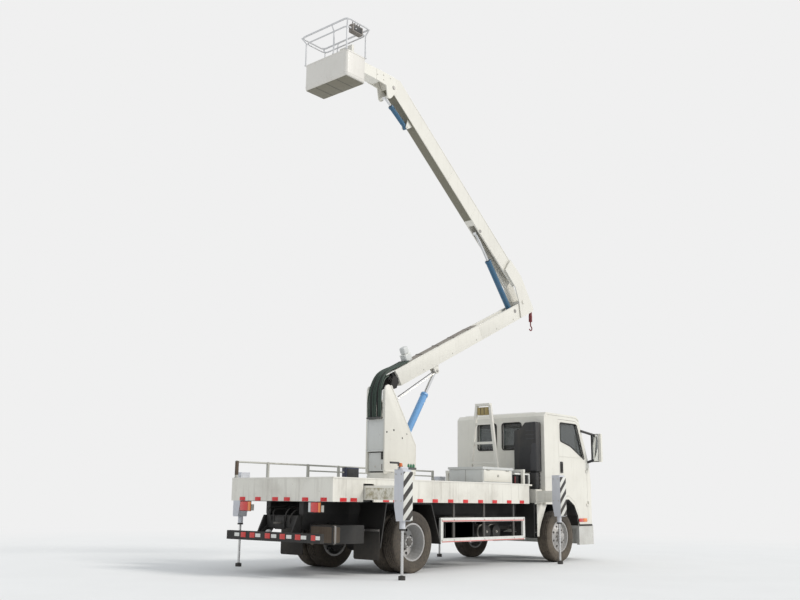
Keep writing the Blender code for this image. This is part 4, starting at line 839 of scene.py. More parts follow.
def make_camera(lens):
    yaw, tilt, roll = (math.radians(angle) for angle in (CAMERA_YAW, CAMERA_TILT, CAMERA_ROLL))
    ahead = Vector((math.cos(yaw) * math.cos(tilt), math.sin(yaw) * math.cos(tilt), math.sin(tilt)))
    level = Vector((math.sin(yaw), -math.cos(yaw), 0))
    up = level.cross(ahead)
    right = math.cos(roll) * level + math.sin(roll) * up
    up = -math.sin(roll) * level + math.cos(roll) * up
    camera = bpy.data.objects.new("camera", bpy.data.cameras.new("camera"))
    camera.data.lens = lens
    camera.data.sensor_width = 36
    camera.data.clip_end = 500
    turn = Matrix((right, up, -ahead)).transposed()
    camera.matrix_world = Matrix.LocRotScale(Vector(CAMERA_AT), turn.to_quaternion(), None)
    bpy.context.scene.collection.objects.link(camera)
    bpy.context.scene.camera = camera


class TRUCK_OT_finishes(bpy.types.Operator):
    """Gives every CAD part its finish"""

    bl_idname = "truck.finishes"
    bl_label = "Finishes of the CAD parts"

    def execute(self, context):
        for name, nodes in NODE_FINISHES.items():
            for node in nodes:
                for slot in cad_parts[node].material_slots:
                    slot.material = finish(name)
        return {"FINISHED"}


# Wheels

def tyre_profile(depth):
    """Tread ribs, shoulders, sidewalls and beads, as (radius, offset from the middle)."""
    crown = TYRE_R + 0.001
    half = [
        (crown, 0.012), (crown - depth, 0.014), (crown - depth, 0.022), (crown, 0.024), (crown, 0.056),
        (crown - depth, 0.058), (crown - depth, 0.067), (crown - 0.001, 0.069), (crown - 0.004, 0.098),
        (0.490, 0.112), (0.474, 0.122), (0.462, 0.131), (0.440, 0.136), (0.425, 0.135), (0.421, 0.138),
        (0.400, 0.138),
        (0.396, 0.135), (0.360, 0.134), (0.334, 0.126), (0.328, 0.128), (0.320, 0.122), (0.309, 0.113),
        (0.300, 0.104),
        (0.2925, 0.098),
    ]
    return half + [(r, -y) for r, y in reversed(half)]


class TRUCK_OT_tyres(bpy.types.Operator):
    """Six tyres with ribs, shoulder grooves and moulded sidewall rings"""

    bl_idname = "truck.tyres"
    bl_label = "Tyres"

    def execute(self, context):
        depth = context.scene.truck_trim.tread_depth
        for row, x, y, body, node in WHEELS:
            for name, side in SIDES:
                piece = Piece(f"tread_{row}_{name}", body.format(name))
                tyre = turned(tyre_profile(depth), 60, closed=True)
                cut_shoulders(tyre, depth)
                piece.add(put(tyre, (x, y * side, TYRE_R), (0, side, 0)), "tyre rubber")
                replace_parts(piece.done(30), node.format(name))
        return {"FINISHED"}


def cut_shoulders(tyre, depth):
    """Sinks a groove across both shoulders at every third step of the spin."""
    grooves = []
    for face in tyre.faces:
        centre = face.calc_center_median()
        step = round(math.atan2(centre.y, centre.x) / (math.tau / 60) - 0.5)
        if 0.070 < abs(centre.z) < 0.11 and centre.xy.length > 0.488 and step % 3 == 0:
            grooves.append(face)
        if 0.024 < abs(centre.z) < 0.056 and centre.xy.length > 0.49 and (step + (centre.z > 0)) % 6 == 0:
            grooves.append(face)
    bmesh.ops.inset_individual(tyre, faces=grooves, thickness=0.008, depth=-depth * 0.7)


class TRUCK_OT_wheel_trim(bpy.types.Operator):
    """Wheel nuts, hub bolts and valves"""

    bl_idname = "truck.wheel_trim"
    bl_label = "Wheel nuts and hubs"

    def execute(self, context):
        radius = context.scene.truck_trim.nut_radius
        rows = (("front", FRONT_AXLE_X, 0.1085, 0.155, "wheel silver"),
                ("rear", 0.0, -0.1035, 0.030, "cast iron"))
        for row, x, face, hub, cap_finish in rows:
            for name, side in SIDES:
                wheel = (x, WHEEL_Y * side, TYRE_R), (0, side, 0)
                piece = Piece(f"hub_trim_{row}_{name}", f"wheel_{row}_{name}")
                piece.add(put(wheel_nuts(face, radius), *wheel), "bare steel")
                piece.add(put(hub_cap(hub), *wheel), cap_finish)
                if row == "rear":
                    for at in spaced(8, 0.205, 0.5):
                        # Near-black discs in the hand holes of the rear wheels: painted shade behind the
                        # holes.
                        hole = rod((*at, -0.106), (*at, -0.0935), 0.0265, None, 14)
                        piece.add(put(hole, *wheel), "painted recess shade")
                else:
                    valve = pipe([(0.20, 0.19, 0.02), (0.185, 0.165, 0.07), (0.165, 0.145, 0.10)], 0.005, 2)
                    piece.add(put(valve, *wheel), "zinc plate")
                piece.done()
        return {"FINISHED"}


def wheel_nuts(face, radius):
    """Ten studs, each with its washer and nut."""
    parts = bmesh.new()
    for x, y in spaced(10, 0.128):
        join(parts, rod((x, y, face), (x, y, face + 0.010), radius * 1.3, radius * 1.15, 12))
        join(parts, rod((x, y, face + 0.009), (x, y, face + 0.030), radius, radius * 0.9, 6, 0.002))
        join(parts, rod((x, y, face + 0.029), (x, y, face + 0.044), radius * 0.55, None, 8))
    return parts


def hub_cap(hub):
    """A domed cap in a ring of bolts."""
    profile = [(0, 0.018), (0.045, 0.018), (0.062, 0.010), (0.066, 0.0005), (0, 0.0005)]
    cap = turned([(r, hub + z) for r, z in profile], 24)
    for x, y in spaced(8, 0.078):
        join(cap, bolt((x, y, hub), (0, 0, 1), 0.007, 0.007))
    return cap


# Chassis

class TRUCK_OT_reflectors(bpy.types.Operator):
    """Red reflectors and markers along the deck's skirt"""

    bl_idname = "truck.reflectors"
    bl_label = "Reflectors"

    def execute(self, context):
        piece = Piece("skirt_reflectors", "chassis")
        rear = DECK_REAR_FACE - 0.006
        for y in (0.91, 0.52, 0.10, -0.18, -0.60, -1.01):
            piece.add(block((rear, y - 0.068, 1.140), (rear + 0.006, y + 0.068, 1.198), 0.002),
                      "red reflector")
        for x in (-1.69, -1.46, -0.71, -0.46, -0.20, 0.15, 0.55, 0.98, 1.41, 1.86, 2.30, 2.77, 3.20):
            for _, side in SIDES:
                face = side * (DECK_HALF + 0.0002)
                piece.add(block((x - 0.072, face, 1.140), (x + 0.072, face + side * 0.006, 1.196), 0.002),
                          "red reflector")
        piece.done()
        return {"FINISHED"}


class TRUCK_OT_under_run(bpy.types.Operator):
    """Red and white strips on the under-run bar, its brackets, the tail lamps' lenses and the mud flaps"""

    bl_idname = "truck.under_run"
    bl_label = "Rear bar, lamps and flaps"

    def execute(self, context):
        piece = Piece("rear_bar_strips", "chassis")
        face = BAR_REAR_FACE
        strips = (
            (0.84, "white"), (0.68, "red"), (0.46, "red"), (0.32, "white"), (0.09, "red"), (-0.06, "white"),
            (-0.26, "red"), (-0.41, "white"), (-0.61, "red"), (-0.74, "white"), (-0.95, "red"),
            (-1.05, "white"),
        )
        for y, colour in strips:
            half = 0.060 if y > -0.9 else 0.047
            tall = 0.040 if colour == "red" else 0.028
            piece.add(block((face - 0.003, y - half, 0.600 - tall), (face, y + half, 0.600 + tall), 0.001),
                      colour + " marking")
        for y in (-0.36, 0.36):
            hanger = [(-1.979, 0.53), (-1.979, 0.65), (-1.80, 0.80), (-1.72, 0.80), (-1.72, 0.70),
                      (-1.86, 0.56)]
            piece.add(plate(hanger, "Y", y - 0.012, y + 0.012, 0.003), "chassis black")
        piece.done()
        lamps = Piece("tail_lenses", "chassis")
        lenses = (
            (0.955, 0.765, "red lens"), (0.760, 0.685, "amber lens"),
            (-0.685, -0.735, "clear lens"), (-0.740, -0.895, "red lens"), (-0.900, -0.955, "amber lens"),
        )
        for high, low, colour in lenses:
            lamps.add(block((-1.932, low, 0.976), (-1.9158, high, 1.124), 0.006), colour)
        for _, side in SIDES:
            corners = ((0.68, 0.972), (0.96, 0.972), (0.96, 1.128), (0.68, 1.128))
            lamps.add(pipe([(-1.925, side * y, z) for y, z in corners], 0.005, 2, True, False),
                      "dark plastic")
        lamps.done()
        flaps = Piece("mud_flaps", "chassis")
        for _, side in SIDES:
            flap = ((0.60, 0.72), (0.60, 0.26), (0.62, 0.235), (1.14, 0.235), (1.16, 0.26), (1.16, 0.72))
            flaps.add(plate([(y * side, z) for y, z in flap], "X", -0.815, -0.803, 0.002), "mud black")
            flaps.add(block((-0.823, 0.60 * side, 0.68), (-0.8151, 1.16 * side, 0.71), 0.002), "bare steel")
            for y in (0.65, 0.78, 0.98, 1.11):
                flaps.add(bolt((-0.823, y * side, 0.695), (-1, 0, 0), 0.008, 0.006), "bare steel")
        flaps.done()
        return {"FINISHED"}


class TRUCK_OT_springs(bpy.types.Operator):
    """Leaf springs, spring brackets, U-bolts and the propeller shaft"""

    bl_idname = "truck.springs"
    bl_label = "Springs and shaft"

    def execute(self, context):
        piece = Piece("leaf_springs", "chassis")
        for axle, reach in ((0.0, 0.72), (FRONT_AXLE_X, 0.66)):
            for _, side in SIDES:
                for leaf in range(5):
                    span = reach * (1 - 0.16 * leaf)
                    low = 0.592 - 0.014 * leaf
                    points = []
                    for i in range(-5, 6):
                        t = i / 5
                        points.append((axle + span * t, low + 0.10 * (span * t / reach) ** 2))
                    outline = points + [(x, z + 0.0125) for x, z in reversed(points)]
                    y = 0.395 * side
                    piece.add(plate(outline, "Y", y - 0.032, y + 0.032), "chassis black")
                for end in (-1, 1):
                    x = axle + end * reach
                    piece.add(rod((x, side * 0.355, 0.705), (x, side * 0.435, 0.705), 0.024, None, 12,
                                  0.003), "cast iron")
                for x in (axle - 0.055, axle + 0.055):
                    bow = ((0.350, 0.50), (0.350, 0.63), (0.440, 0.63), (0.440, 0.50))
                    line = [(x, side * y, z) for y, z in bow]
                    piece.add(pipe(line, 0.009, 2, False, False), "bare steel")
        piece.done()
        shaft = Piece("propeller_shaft", "chassis")
        shaft.add(rod((3.70, 0, 0.69), (0.30, 0, 0.56), 0.042, None, 16, 0.003), "chassis black")
        for x, z in ((3.74, 0.692), (0.26, 0.558)):
            shaft.add(rod((x - 0.05, 0, z), (x + 0.05, 0, z), 0.062, None, 12, 0.008), "cast iron")
            shaft.add(rod((x, -0.06, z), (x, 0.06, z), 0.022, None, 10, 0.003), "cast iron")
        shaft.done()
        return {"FINISHED"}


class TRUCK_OT_underbody(bpy.types.Operator):
    """Silencer box, battery box, rear pipes and coupling, tank straps"""

    bl_idname = "truck.underbody"
    bl_label = "Boxes and pipes below the deck"

    def execute(self, context):
        piece = Piece("silencer", "chassis")
        piece.add(block((-1.756, -1.054, 0.496), (-1.56, -0.546, 0.784), 0.045, 4), "rusty brown")
        piece.add(block((-1.72, -1.060, 0.491), (-1.68, -0.540, 0.790), 0.04, 4), "bare steel")
        piece.add(pipe([(-1.56, -0.70, 0.62), (-1.30, -0.64, 0.64), (-0.70, -0.52, 0.72),
                        (-0.2, -0.50, 0.76), (0.9, -0.50, 0.72)],
                       0.035, 3), "rusty brown")
        piece.add(pipe([(-1.75, -0.80, 0.60), (-1.86, -0.80, 0.58), (-1.95, -0.80, 0.52)], 0.035, 3),
                  "rusty brown")
        piece.done()
        box = Piece("battery_box", "chassis")
        box.add(block((1.02, -1.04, 0.50), (1.86, -0.60, 0.88), 0.02, 3), "mud black")
        box.add(block((1.00, -1.05, 0.86), (1.88, -0.59, 0.905), 0.012, 3), "mud black")
        for x in (1.16, 1.70):
            box.add(block((x, -0.62, 0.74), (x + 0.04, -0.43, 0.88), 0.004), "chassis black")
        box.done()
        tank = Piece("tank_straps", "chassis")
        for x in (1.55, 1.98, 2.40):
            tank.add(block((x, 0.425, 0.492), (x + 0.04, 0.986, 0.937), 0.012, 3), "zinc plate")
        tank.add(rod((2.15, 0.80, 0.93), (2.15, 0.80, 0.965), 0.05, None, 20, 0.006), "dark plastic")
        for x in (2.35, 2.66):
            for y in (-0.55, -0.86):
                band = [(0.1255, -0.016), (0.1285, -0.014), (0.1285, 0.014), (0.1255, 0.016)]
                tank.add(turned_at(band, (x, y, 0.62), 28, (0, 1, 0)), "zinc plate")
            tank.add(bolt((x, -0.981, 0.62), (0, -1, 0), 0.016, 0.014), "zinc plate")
            tank.add(block((x - 0.02, -0.72, 0.74), (x + 0.02, -0.42, 0.80), 0.004), "chassis black")
        tank.done()
        rear = Piece("rear_pipes", "chassis")
        rear.add(block((-1.86, -0.35, 0.72), (-1.80, 0.35, 0.92), 0.006), "chassis black")
        rear.add(block((-1.90, -0.11, 0.70), (-1.861, 0.11, 0.90), 0.008), "chassis black")
        rear.add(pipe([(-1.90, -0.05, 0.80), (-1.96, -0.05, 0.80), (-1.98, 0.0, 0.80), (-1.96, 0.05, 0.80),
                       (-1.90, 0.05, 0.80)], 0.016, 3), "cast iron")
        ball = bmesh.new()
        bmesh.ops.create_icosphere(ball, subdivisions=3, radius=0.055)
        rear.add(put(ball, (-1.90, 0.25, 0.64)), "box grey")
        rear.add(rod((-1.86, 0.25, 0.66), (-1.80, 0.25, 0.74), 0.02), "chassis black")
        radius = context.scene.truck_trim.hose_radius
        for y, z in ((-0.22, 0.97), (-0.12, 1.00), (0.14, 0.98), (0.24, 1.01)):
            rear.add(pipe([(-1.84, y, z - 0.22), (-1.88, y, z - 0.12), (-1.86, y * 1.3, z),
                           (-1.70, y * 1.2, z + 0.04), (-1.30, y, z + 0.05)],
                          radius * 0.8, 2), "black rubber")
        rear.done()
        return {"FINISHED"}


class TRUCK_OT_guards(bpy.types.Operator):
    """Red lines and bolts on the side guards"""

    bl_idname = "truck.guards"
    bl_label = "Side guard trim"

    def execute(self, context):
        piece = Piece("guard_trim", "chassis")
        for _, side in SIDES:
            y = side * GUARD_FACE
            for low, high in ((0.822, 0.836), (0.474, 0.486)):
                piece.add(block((0.80, y, low), (3.34, y + side * 0.002, high), 0.0006), "red marking")
            for x in (0.805, 1.15, 2.05, 3.00, 3.335):
                for z in (0.505, 0.850):
                    piece.add(bolt((x, y, z), (0, side, 0), 0.009, 0.007), "zinc plate")
        piece.done()
        return {"FINISHED"}


# Deck and what stands on it

class TRUCK_OT_deck_trim(bpy.types.Operator):
    """Edge beads, skirt seams and pedestal bolts"""

    bl_idname = "truck.deck_trim"
    bl_label = "Deck trim"

    def execute(self, context):
        piece = Piece("deck_trim", "chassis")
        for _, side in SIDES:
            y = side * (DECK_HALF + 0.0002)
            piece.add(block((-1.92, y, 1.488), (3.46, y + side * 0.006, 1.510), 0.002), "light grey enamel")
            for x in (-0.92, 0.12, 1.16, 2.20, 3.10):
                piece.add(block((x - 0.006, y, 1.20), (x + 0.006, y + side * 0.003, 1.487), 0.001),
                          "cream enamel")
        piece.add(block((DECK_REAR_FACE - 0.006, -1.19, 1.488), (DECK_REAR_FACE, 1.19, 1.510), 0.002),
                  "light grey enamel")
        for x, y in spaced(20, 0.40):
            piece.add(bolt((0.75 + x, y, 1.6002), (0, 0, 1), 0.012, 0.010), "bare steel")
        piece.done()
        return {"FINISHED"}


class TRUCK_OT_railing_trim(bpy.types.Operator):
    """Post feet, knuckles and the navy box on the railing"""

    bl_idname = "truck.railing_trim"
    bl_label = "Railing trim"

    def execute(self, context):
        piece = Piece("railing_trim", "chassis")
        posts = (-1.86, -1.17, -0.21, 0.58, 1.55, 2.50, 3.40)
        for x in posts:
            foot = [(0.0, 0.0003), (0.040, 0.0003), (0.040, 0.008), (0.024, 0.012), (0.021, 0.045),
                    (0.0165, 0.048)]
            piece.add(turned_at(foot, (x, 1.17, DECK_TOP), 16), "railing grey")
            piece.add(rod((x - 0.022, 1.17, 1.78), (x + 0.022, 1.17, 1.78), 0.021, None, 12, 0.003),
                      "railing grey")
        piece.add(block((-1.884, 1.146, 1.56), (-1.836, 1.194, 1.792), 0.006), "rusty brown")
        piece.add(block((0.73, 1.120, 1.545), (1.09, 1.232, 1.775), 0.012, 3), "navy plastic")
        piece.add(block((0.76, 1.114, 1.575), (1.06, 1.1202, 1.745), 0.002), "dark plastic")
        piece.done()
        return {"FINISHED"}


def turned_at(profile, at, steps=20, facing=(0, 0, 1)):
    return put(turned(profile, steps), at, facing)


class TRUCK_OT_box_trim(bpy.types.Operator):
    """Door, lock and hinges of the equipment box, and the lamp box and pads on the boom rest"""

    bl_idname = "truck.box_trim"
    bl_label = "Equipment box and boom rest trim"

    def execute(self, context):
        piece = Piece("box_trim", "chassis")
        y = -0.8602
        piece.add(block((2.43, y - 0.010, 1.545), (3.35, y, 1.762), 0.003), "cream enamel")
        piece.add(block((2.46, y - 0.014, 1.57), (3.32, y - 0.0098, 1.74), 0.002), "cream enamel")
        lock = [(0, 0.014), (0.018, 0.014), (0.024, 0.010), (0.028, 0.0), (0, 0.0)]
        piece.add(turned_at(lock, (2.88, y - 0.0142, 1.655), 20, (0, -1, 0)), "zinc plate")
        piece.add(rod((2.88, y - 0.028, 1.655), (2.88, y - 0.034, 1.655), 0.008, None, 10), "dark plastic")
        for x in (2.56, 3.20):
            piece.add(rod((x - 0.05, y - 0.018, 1.756), (x + 0.05, y - 0.018, 1.756), 0.008, None, 10,
                          0.001), "zinc plate")
        # The grey plate over the box's rear face is painted shade; that face has the cream paint of the door
        # side.
        piece.add(block((2.3938, -0.85, 1.53), (2.3996, -0.07, 1.765), 0.002), "box grey")
        piece.add(block((4.020, -1.005, 1.425), (4.184, -0.84, 1.7698), 0.030, 3), "dark plastic")
        # Two near-black blocks inside the white frame by the boom rest: painted shade in its open bays.
        piece.add(block((3.420, -0.885, 1.5115), (3.590, -0.55, 1.695), 0.006), "painted recess shade")
        piece.add(block((3.670, -0.885, 1.5115), (3.895, -0.55, 1.695), 0.006), "painted recess shade")
        piece.add(block((3.425, -0.895, 1.530), (3.455, -0.8845, 1.66), 0.003), "hook red")
        piece.add(block((3.405, -0.915, 1.697), (3.925, -0.886, 1.727), 0.004), "white marking")
        piece.add(block((3.896, -0.915, 1.5115), (3.924, -0.887, 1.700), 0.004), "white marking")
        for z in (1.52, 1.60, 1.68):
            piece.add(block((4.016, -1.009, z), (4.186, -0.836, z + 0.012), 0.004), "dark plastic")
        piece.add(block((2.3905, -0.464, 1.535), (2.3938, -0.458, 1.762), 0.001), "control grey")
        piece.done()
        rest = Piece("rest_trim", "chassis")
        rest.add(block((3.596, -0.135, 2.925), (3.664, 0.135, 3.085), 0.010), "worn amber")
        for y in (-0.088, 0.0, 0.088):
            rest.add(block((3.590, y - 0.036, 2.945), (3.5958, y + 0.036, 3.065), 0.003), "worn amber")
        for y in (-0.044, 0.044):
            rest.add(block((3.5915, y - 0.006, 2.935), (3.5958, y + 0.006, 3.075), 0.001), "dark plastic")
        rest.done()
        return {"FINISHED"}


# Turret and hoses

class TRUCK_OT_turret(bpy.types.Operator):
    """Side plates with rounded tops, lips, covers and pin brackets, in place of the plain turret"""

    bl_idname = "truck.turret"
    bl_label = "Turret"

    def execute(self, context):
        piece = Piece("turret_shell", "turret", TURRET)
        cheek = [(-0.434, 1.63), (-0.434, 3.115)] + arc((-0.345, 3.13), 0.09, 170, 34, 8)
        cheek += [(0.425, 2.17), (0.425, 1.63)]
        lip = [(0.430, 1.64), (0.430, 2.173), (-0.262, 3.218), (-0.280, 3.206), (0.408, 2.166), (0.408, 1.64)]
        bracket = arc(BOOM_HEEL, 0.085, 165, -25, 10) + [(-0.05, 3.19), (-0.25, 3.12)]
        for _, side in SIDES:
            piece.add(plate(cheek, "Y", side * 0.200, side * 0.230, 0.003), "light grey enamel")
            piece.add(plate(lip, "Y", side * 0.140, side * 0.2345, 0.003), "light grey enamel")
            # The plate round the heel pin between cheek and boom is near-black: painted shade under the
            # boom's heel.
            piece.add(plate(bracket, "Y", side * 0.140, side * 0.166, 0.004), "painted recess shade")
            piece.add(block((-0.434, side * 0.160, 2.60), (-0.416, side * 0.205, 3.12), 0.003),
                      "light grey enamel")
            y = side * 0.2302
            # Near-black discs on the cheeks: painted shade inside the holes.
            holes = ((-0.38, 2.365, 0.017), (-0.19, 2.41, 0.017), (0.045, 2.28, 0.015), (0.17, 2.36, 0.012))
            for x, z, r in holes:
                piece.add(rod((x, y, z), (x, y + side * 0.002, z), r, None, 14), "painted recess shade")
            piece.add(turned_at(pin_head(0.038), (LIFT_BASE[0], y, LIFT_BASE[1]), 20, (0, side, 0)),
                      "bare steel")
            piece.add(block((-0.42, y, 1.665), (0.41, y + side * 0.012, 1.700), 0.003), "light grey enamel")
        piece.add(block((-0.432, -0.203, 2.02), (-0.412, 0.203, 2.60), 0.003), "box grey")
        # Near-black block inside the turret below the rear cover: painted shade between the cheeks.
        piece.add(block((-0.334, -0.203, 1.655), (-0.314, 0.203, 2.33)), "painted recess shade")
        disc = [(0, 1.65), (0.428, 1.65), (0.430, 1.648), (0.430, 1.6003), (0, 1.6003)]
        piece.add(turned(disc, 40), "light grey enamel")
        piece.add(pin(BOOM_HEEL, 0.160, 0.045, 20), "bare steel")
        piece.add(pin(LIFT_BASE, 0.205, 0.030), "bare steel")
        for x, y in spaced(16, 0.38):
            if abs(y) > 0.2356:
                piece.add(bolt((x, y, 1.6502), (0, 0, 1), 0.012, 0.010), "bare steel")
        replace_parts(piece.done(), "turret")
        cover_trim()
        return {"FINISHED"}


def cover_trim():
    """The raised border, bolts and recess fittings of the turret's rear cover."""
    piece = Piece("turret_cover_trim", "turret", TURRET)
    x = -0.4322
    for z in (2.035, 2.585):
        piece.add(block((x - 0.006, -0.198, z - 0.012), (x, 0.198, z + 0.012), 0.002), "box grey")
    for y in (-0.190, 0.190):
        piece.add(block((x - 0.006, y - 0.010, 2.035), (x, y + 0.010, 2.585), 0.002), "box grey")
    for y in (-0.15, -0.09, -0.03, 0.03, 0.09, 0.15):
        piece.add(bolt((x - 0.0062, y, 2.585), (-1, 0, 0), 0.006, 0.005), "zinc plate")
    piece.add(block((-0.40, -0.185, 1.675), (-0.336, 0.185, 2.005), 0.006), "box grey")
    piece.add(block((-0.404, -0.184, 1.88), (-0.3985, -0.115, 2.003), 0.004), "dark plastic")
    piece.add(plate([(-0.15, 1.70), (-0.13, 1.70), (-0.13, 1.80), (-0.15, 1.80)], "X", -0.404, -0.3995,
                    0.001), "control grey")
    piece.add(turned_at(pin_head(0.014, 0.004, 0.008), (-0.4002, 0.02, 1.76), 16, (-1, 0, 0)), "zinc plate")
    piece.done()


# Hoses at the turret, in its frame: outer layer as it passes over the heel of the boom, and inner layer.
OUTER_HOSES = (
    (-0.470, 2.602), (-0.476, 2.78), (-0.476, 2.95), (-0.458, 3.12), (-0.405, 3.27), (-0.315, 3.41),
    (-0.190, 3.505), (-0.060, 3.565), (0.050, 3.608), (0.200, 3.676), (0.345, 3.744),
)
INNER_HOSES = (
    (-0.438, 2.602), (-0.442, 2.80), (-0.440, 2.98), (-0.420, 3.12), (-0.368, 3.25), (-0.290, 3.355),
    (-0.205, 3.405),
)


class TRUCK_OT_hoses(bpy.types.Operator):
    """The band of hoses behind the turret, which leans forward on the boom, in place of its plain solid"""

    bl_idname = "truck.hoses"
    bl_label = "Turret hoses"

    def execute(self, context):
        radius = context.scene.truck_trim.hose_radius
        piece = Piece("turret_hoses", None, TURRET)
        for path, count, spread in ((OUTER_HOSES, 9, 0.150), (INNER_HOSES, 7, 0.135)):
            for strand in range(count):
                share = 2 * strand / (count - 1) - 1
                points = []
                for i, (x, z) in enumerate(path):
                    narrow = min(1.0, max(0.0, (z - 2.95) / 0.45))
                    y = share * (spread - 0.038 * narrow)
                    sway = 0.006 * math.sin(strand * 2.3 + i * 1.1)
                    points.append((x + sway * 0.6, y + sway * (1 - narrow), z))
                colour = "black rubber" if strand in (2, 6) else "hose cover"
                piece.add(pipe(points, radius * (1.1 if strand % 2 else 1.0), 2), colour)
        hoses = piece.done()
        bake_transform(hoses)
        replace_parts(hoses, "hose_bundle")
        clamp = Piece("turret_hose_clamp", "turret", TURRET)
        clamp.add(block((-0.500, -0.172, 2.604), (-0.418, 0.172, 2.632), 0.006), "cast iron")
        clamp.done()
        links = Piece("boom_link_rods", None, TURRET)
        for drop, finish_name in ((0.0, "cast iron"), (0.040, "zinc plate")):
            shares = [i / 8 for i in range(9)]
            line = [(0.06 + 1.06 * t, -0.098, 3.045 - drop + (0.60 - 0.4 * drop) * t) for t in shares]
            links.add(pipe(line, 0.009, 2, False, False), finish_name)
        rods = links.done()
        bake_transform(rods)
        return {"FINISHED"}


# Booms and cylinders

class TRUCK_OT_lower_boom(bpy.types.Operator):
    """The box beam with its open heel, trough, lugs and narrow cradle, in place of the plain lower boom"""

    bl_idname = "truck.lower_boom"
    bl_label = "Lower boom"

    def execute(self, context):
        piece = Piece("lower_boom_shell", "lower_boom", LOWER)
        paint = "light grey enamel"
        beam = [(0.165, -0.16), (3.0, -0.16), (3.0, 0.16), (0.105, 0.16), (0.135, 0.06)]
        piece.add(plate(beam, "Y", -0.13, 0.13, 0.006), paint)
        channel = [
            (-0.13, -0.16), (0.13, -0.16), (0.13, 0.16), (0.085, 0.16), (0.085, -0.06),
            (-0.085, -0.06), (-0.085, 0.16), (-0.13, 0.16),
        ]
        piece.add(plate(channel, "X", 2.9995, 4.7385, 0.004), paint)
        notch = arc(ELBOW, 0.0412, 11.2, -191.2, 14)
        end = [(4.738, -0.16), (5.12, -0.16), (5.12, 0.12), (5.08, 0.16)] + notch + [(4.738, 0.16)]
        piece.add(plate(end, "Y", -0.13, 0.13), paint)
        piece.add(block((-0.15, -0.128, 0.1495), (0.12, 0.128, 0.1615), 0.003), "white marking")
        # Near-black ring round the heel pin and block in the open heel: painted shade in the heel's opening.
        piece.add(ring(0.0462, 0.085, 0.060, (0, 0, 0)), "painted recess shade")
        piece.add(block((0.040, -0.085, -0.11), (0.175, 0.085, 0.145), 0.004), "painted recess shade")
        piece.add(pin(FOLD_BASE, 0.092, 0.025), "bare steel")
        lug = arc(LIFT_EYE, 0.057, 180, 360, 10) + [(1.473, -0.15), (1.273, -0.15)]
        for _, side in SIDES:
            piece.add(plate(lug, "Y", side * 0.043, side * 0.058, 0.002), paint)
            head = [(LIFT_EYE[0], side * y, LIFT_EYE[1]) for y in (0.056, 0.072)]
            piece.add(rod(*head, 0.026, None, 14, 0.003), "bare steel")
        web = [(5.08, -0.14), (5.08, -0.02), (5.14, -0.02), (5.262, -0.140), (5.222, -0.160)]
        piece.add(plate(web, "Y", -0.012, 0.012, 0.002), paint)
        piece.add(ring(0.0132, 0.030, 0.012, (5.25, 0, -0.17)), paint)
        piece.add(block((0.560, -0.070, 0.159), (0.740, 0.070, 0.300), 0.014, 3), "box grey")
        piece.add(block((0.556, -0.073, 0.299), (0.744, 0.073, 0.312), 0.004), "white marking")
        piece.add(block((0.575, -0.062, 0.311), (0.728, 0.062, 0.452), 0.035, 4), "box grey")
        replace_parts(piece.done(), "lower_boom")
        boom_fittings()
        return {"FINISHED"}


def boom_fittings():
    """Weld seams, pins, top hoses and the pipes under the lower boom."""
    piece = Piece("lower_boom_trim", "lower_boom", LOWER)
    for _, side in SIDES:
        y = side * 0.1302
        for n in (-0.150, 0.150):
            piece.add(block((0.18, y, n - 0.006), (4.60, y + side * 0.003, n + 0.006), 0.001),
                      "light grey enamel")
        cap = [(0, 0.014), (0.042, 0.014), (0.050, 0.008), (0.054, 0), (0, 0)]
        piece.add(turned_at(pin_head(0.036), (FOLD_BASE[0], y, FOLD_BASE[1]), 20, (0, side, 0)), "bare steel")
        piece.add(turned_at(cap, (4.97, y, -0.02), 24, (0, side, 0)), "light grey enamel")
        for x in (0.9, 1.9, 2.8, 3.6, 4.3):
            piece.add(bolt((x, y, -0.10), (0, side, 0), 0.009, 0.007), "zinc plate")
    for y, radius in ((-0.060, 0.009), (-0.030, 0.008), (0.0, 0.009), (0.030, 0.008), (0.060, 0.009)):
        top = 0.1605 + radius
        piece.add(pipe([(0.34, y * 1.3, top), (0.50, y * 1.25, top), (0.66, y * 1.32, top),
                        (0.80, y * 1.25, top), (1.2, y, top),
                        (2.90, y, top), (3.02, y, 0.150), (3.10, y * 0.9, 0.02), (3.16, y * 0.9, -0.035)],
                        radius, 2), "control grey")
    for x in (1.05, 1.60, 2.15, 2.70):
        piece.add(block((x - 0.02, -0.085, 0.1603), (x + 0.02, 0.085, 0.184), 0.004), "control grey")
    piece.done()


class TRUCK_OT_upper_boom_trim(bpy.types.Operator):
    """Weld seams, hose run, pins and wear pads of the upper boom"""

    bl_idname = "truck.upper_boom_trim"
    bl_label = "Upper boom trim"

    def execute(self, context):
        piece = Piece("upper_boom_trim", "upper_boom", UPPER)
        for _, side in SIDES:
            y = side * 0.1002
            for n in (0.066, 0.426):
                piece.add(block((0.60, y, n - 0.006), (5.30, y + side * 0.004, n + 0.006), 0.0015),
                          "light grey enamel")
            piece.add(turned_at(pin_head(0.034), (2.0, y, 0.100), 18, (0, side, 0)), "bare steel")
            for s in (1.2, 2.4, 3.4, 4.4):
                piece.add(block((s - 0.012, y, 0.07), (s + 0.012, y + side * 0.003, 0.42), 0.001),
                          "light grey enamel")
        # A dark olive strip along the boom's underside: painted shade on the face turned away from the light.
        piece.add(block((2.35, -0.093, 0.0505), (5.70, 0.093, 0.0528), 0.001), "boom shade")
        for y, radius in ((-0.045, 0.013), (-0.012, 0.011), (0.022, 0.013)):
            piece.add(rod((0.80, y, 0.4390 + radius), (5.10, y, 0.4390 + radius), radius, None, 10, 0.002),
                      "black rubber")
        for s in (1.0, 1.9, 2.8, 3.7, 4.6):
            piece.add(block((s - 0.02, -0.07, 0.4392), (s + 0.02, 0.05, 0.468), 0.004), "zinc plate")
        piece.done()
        return {"FINISHED"}


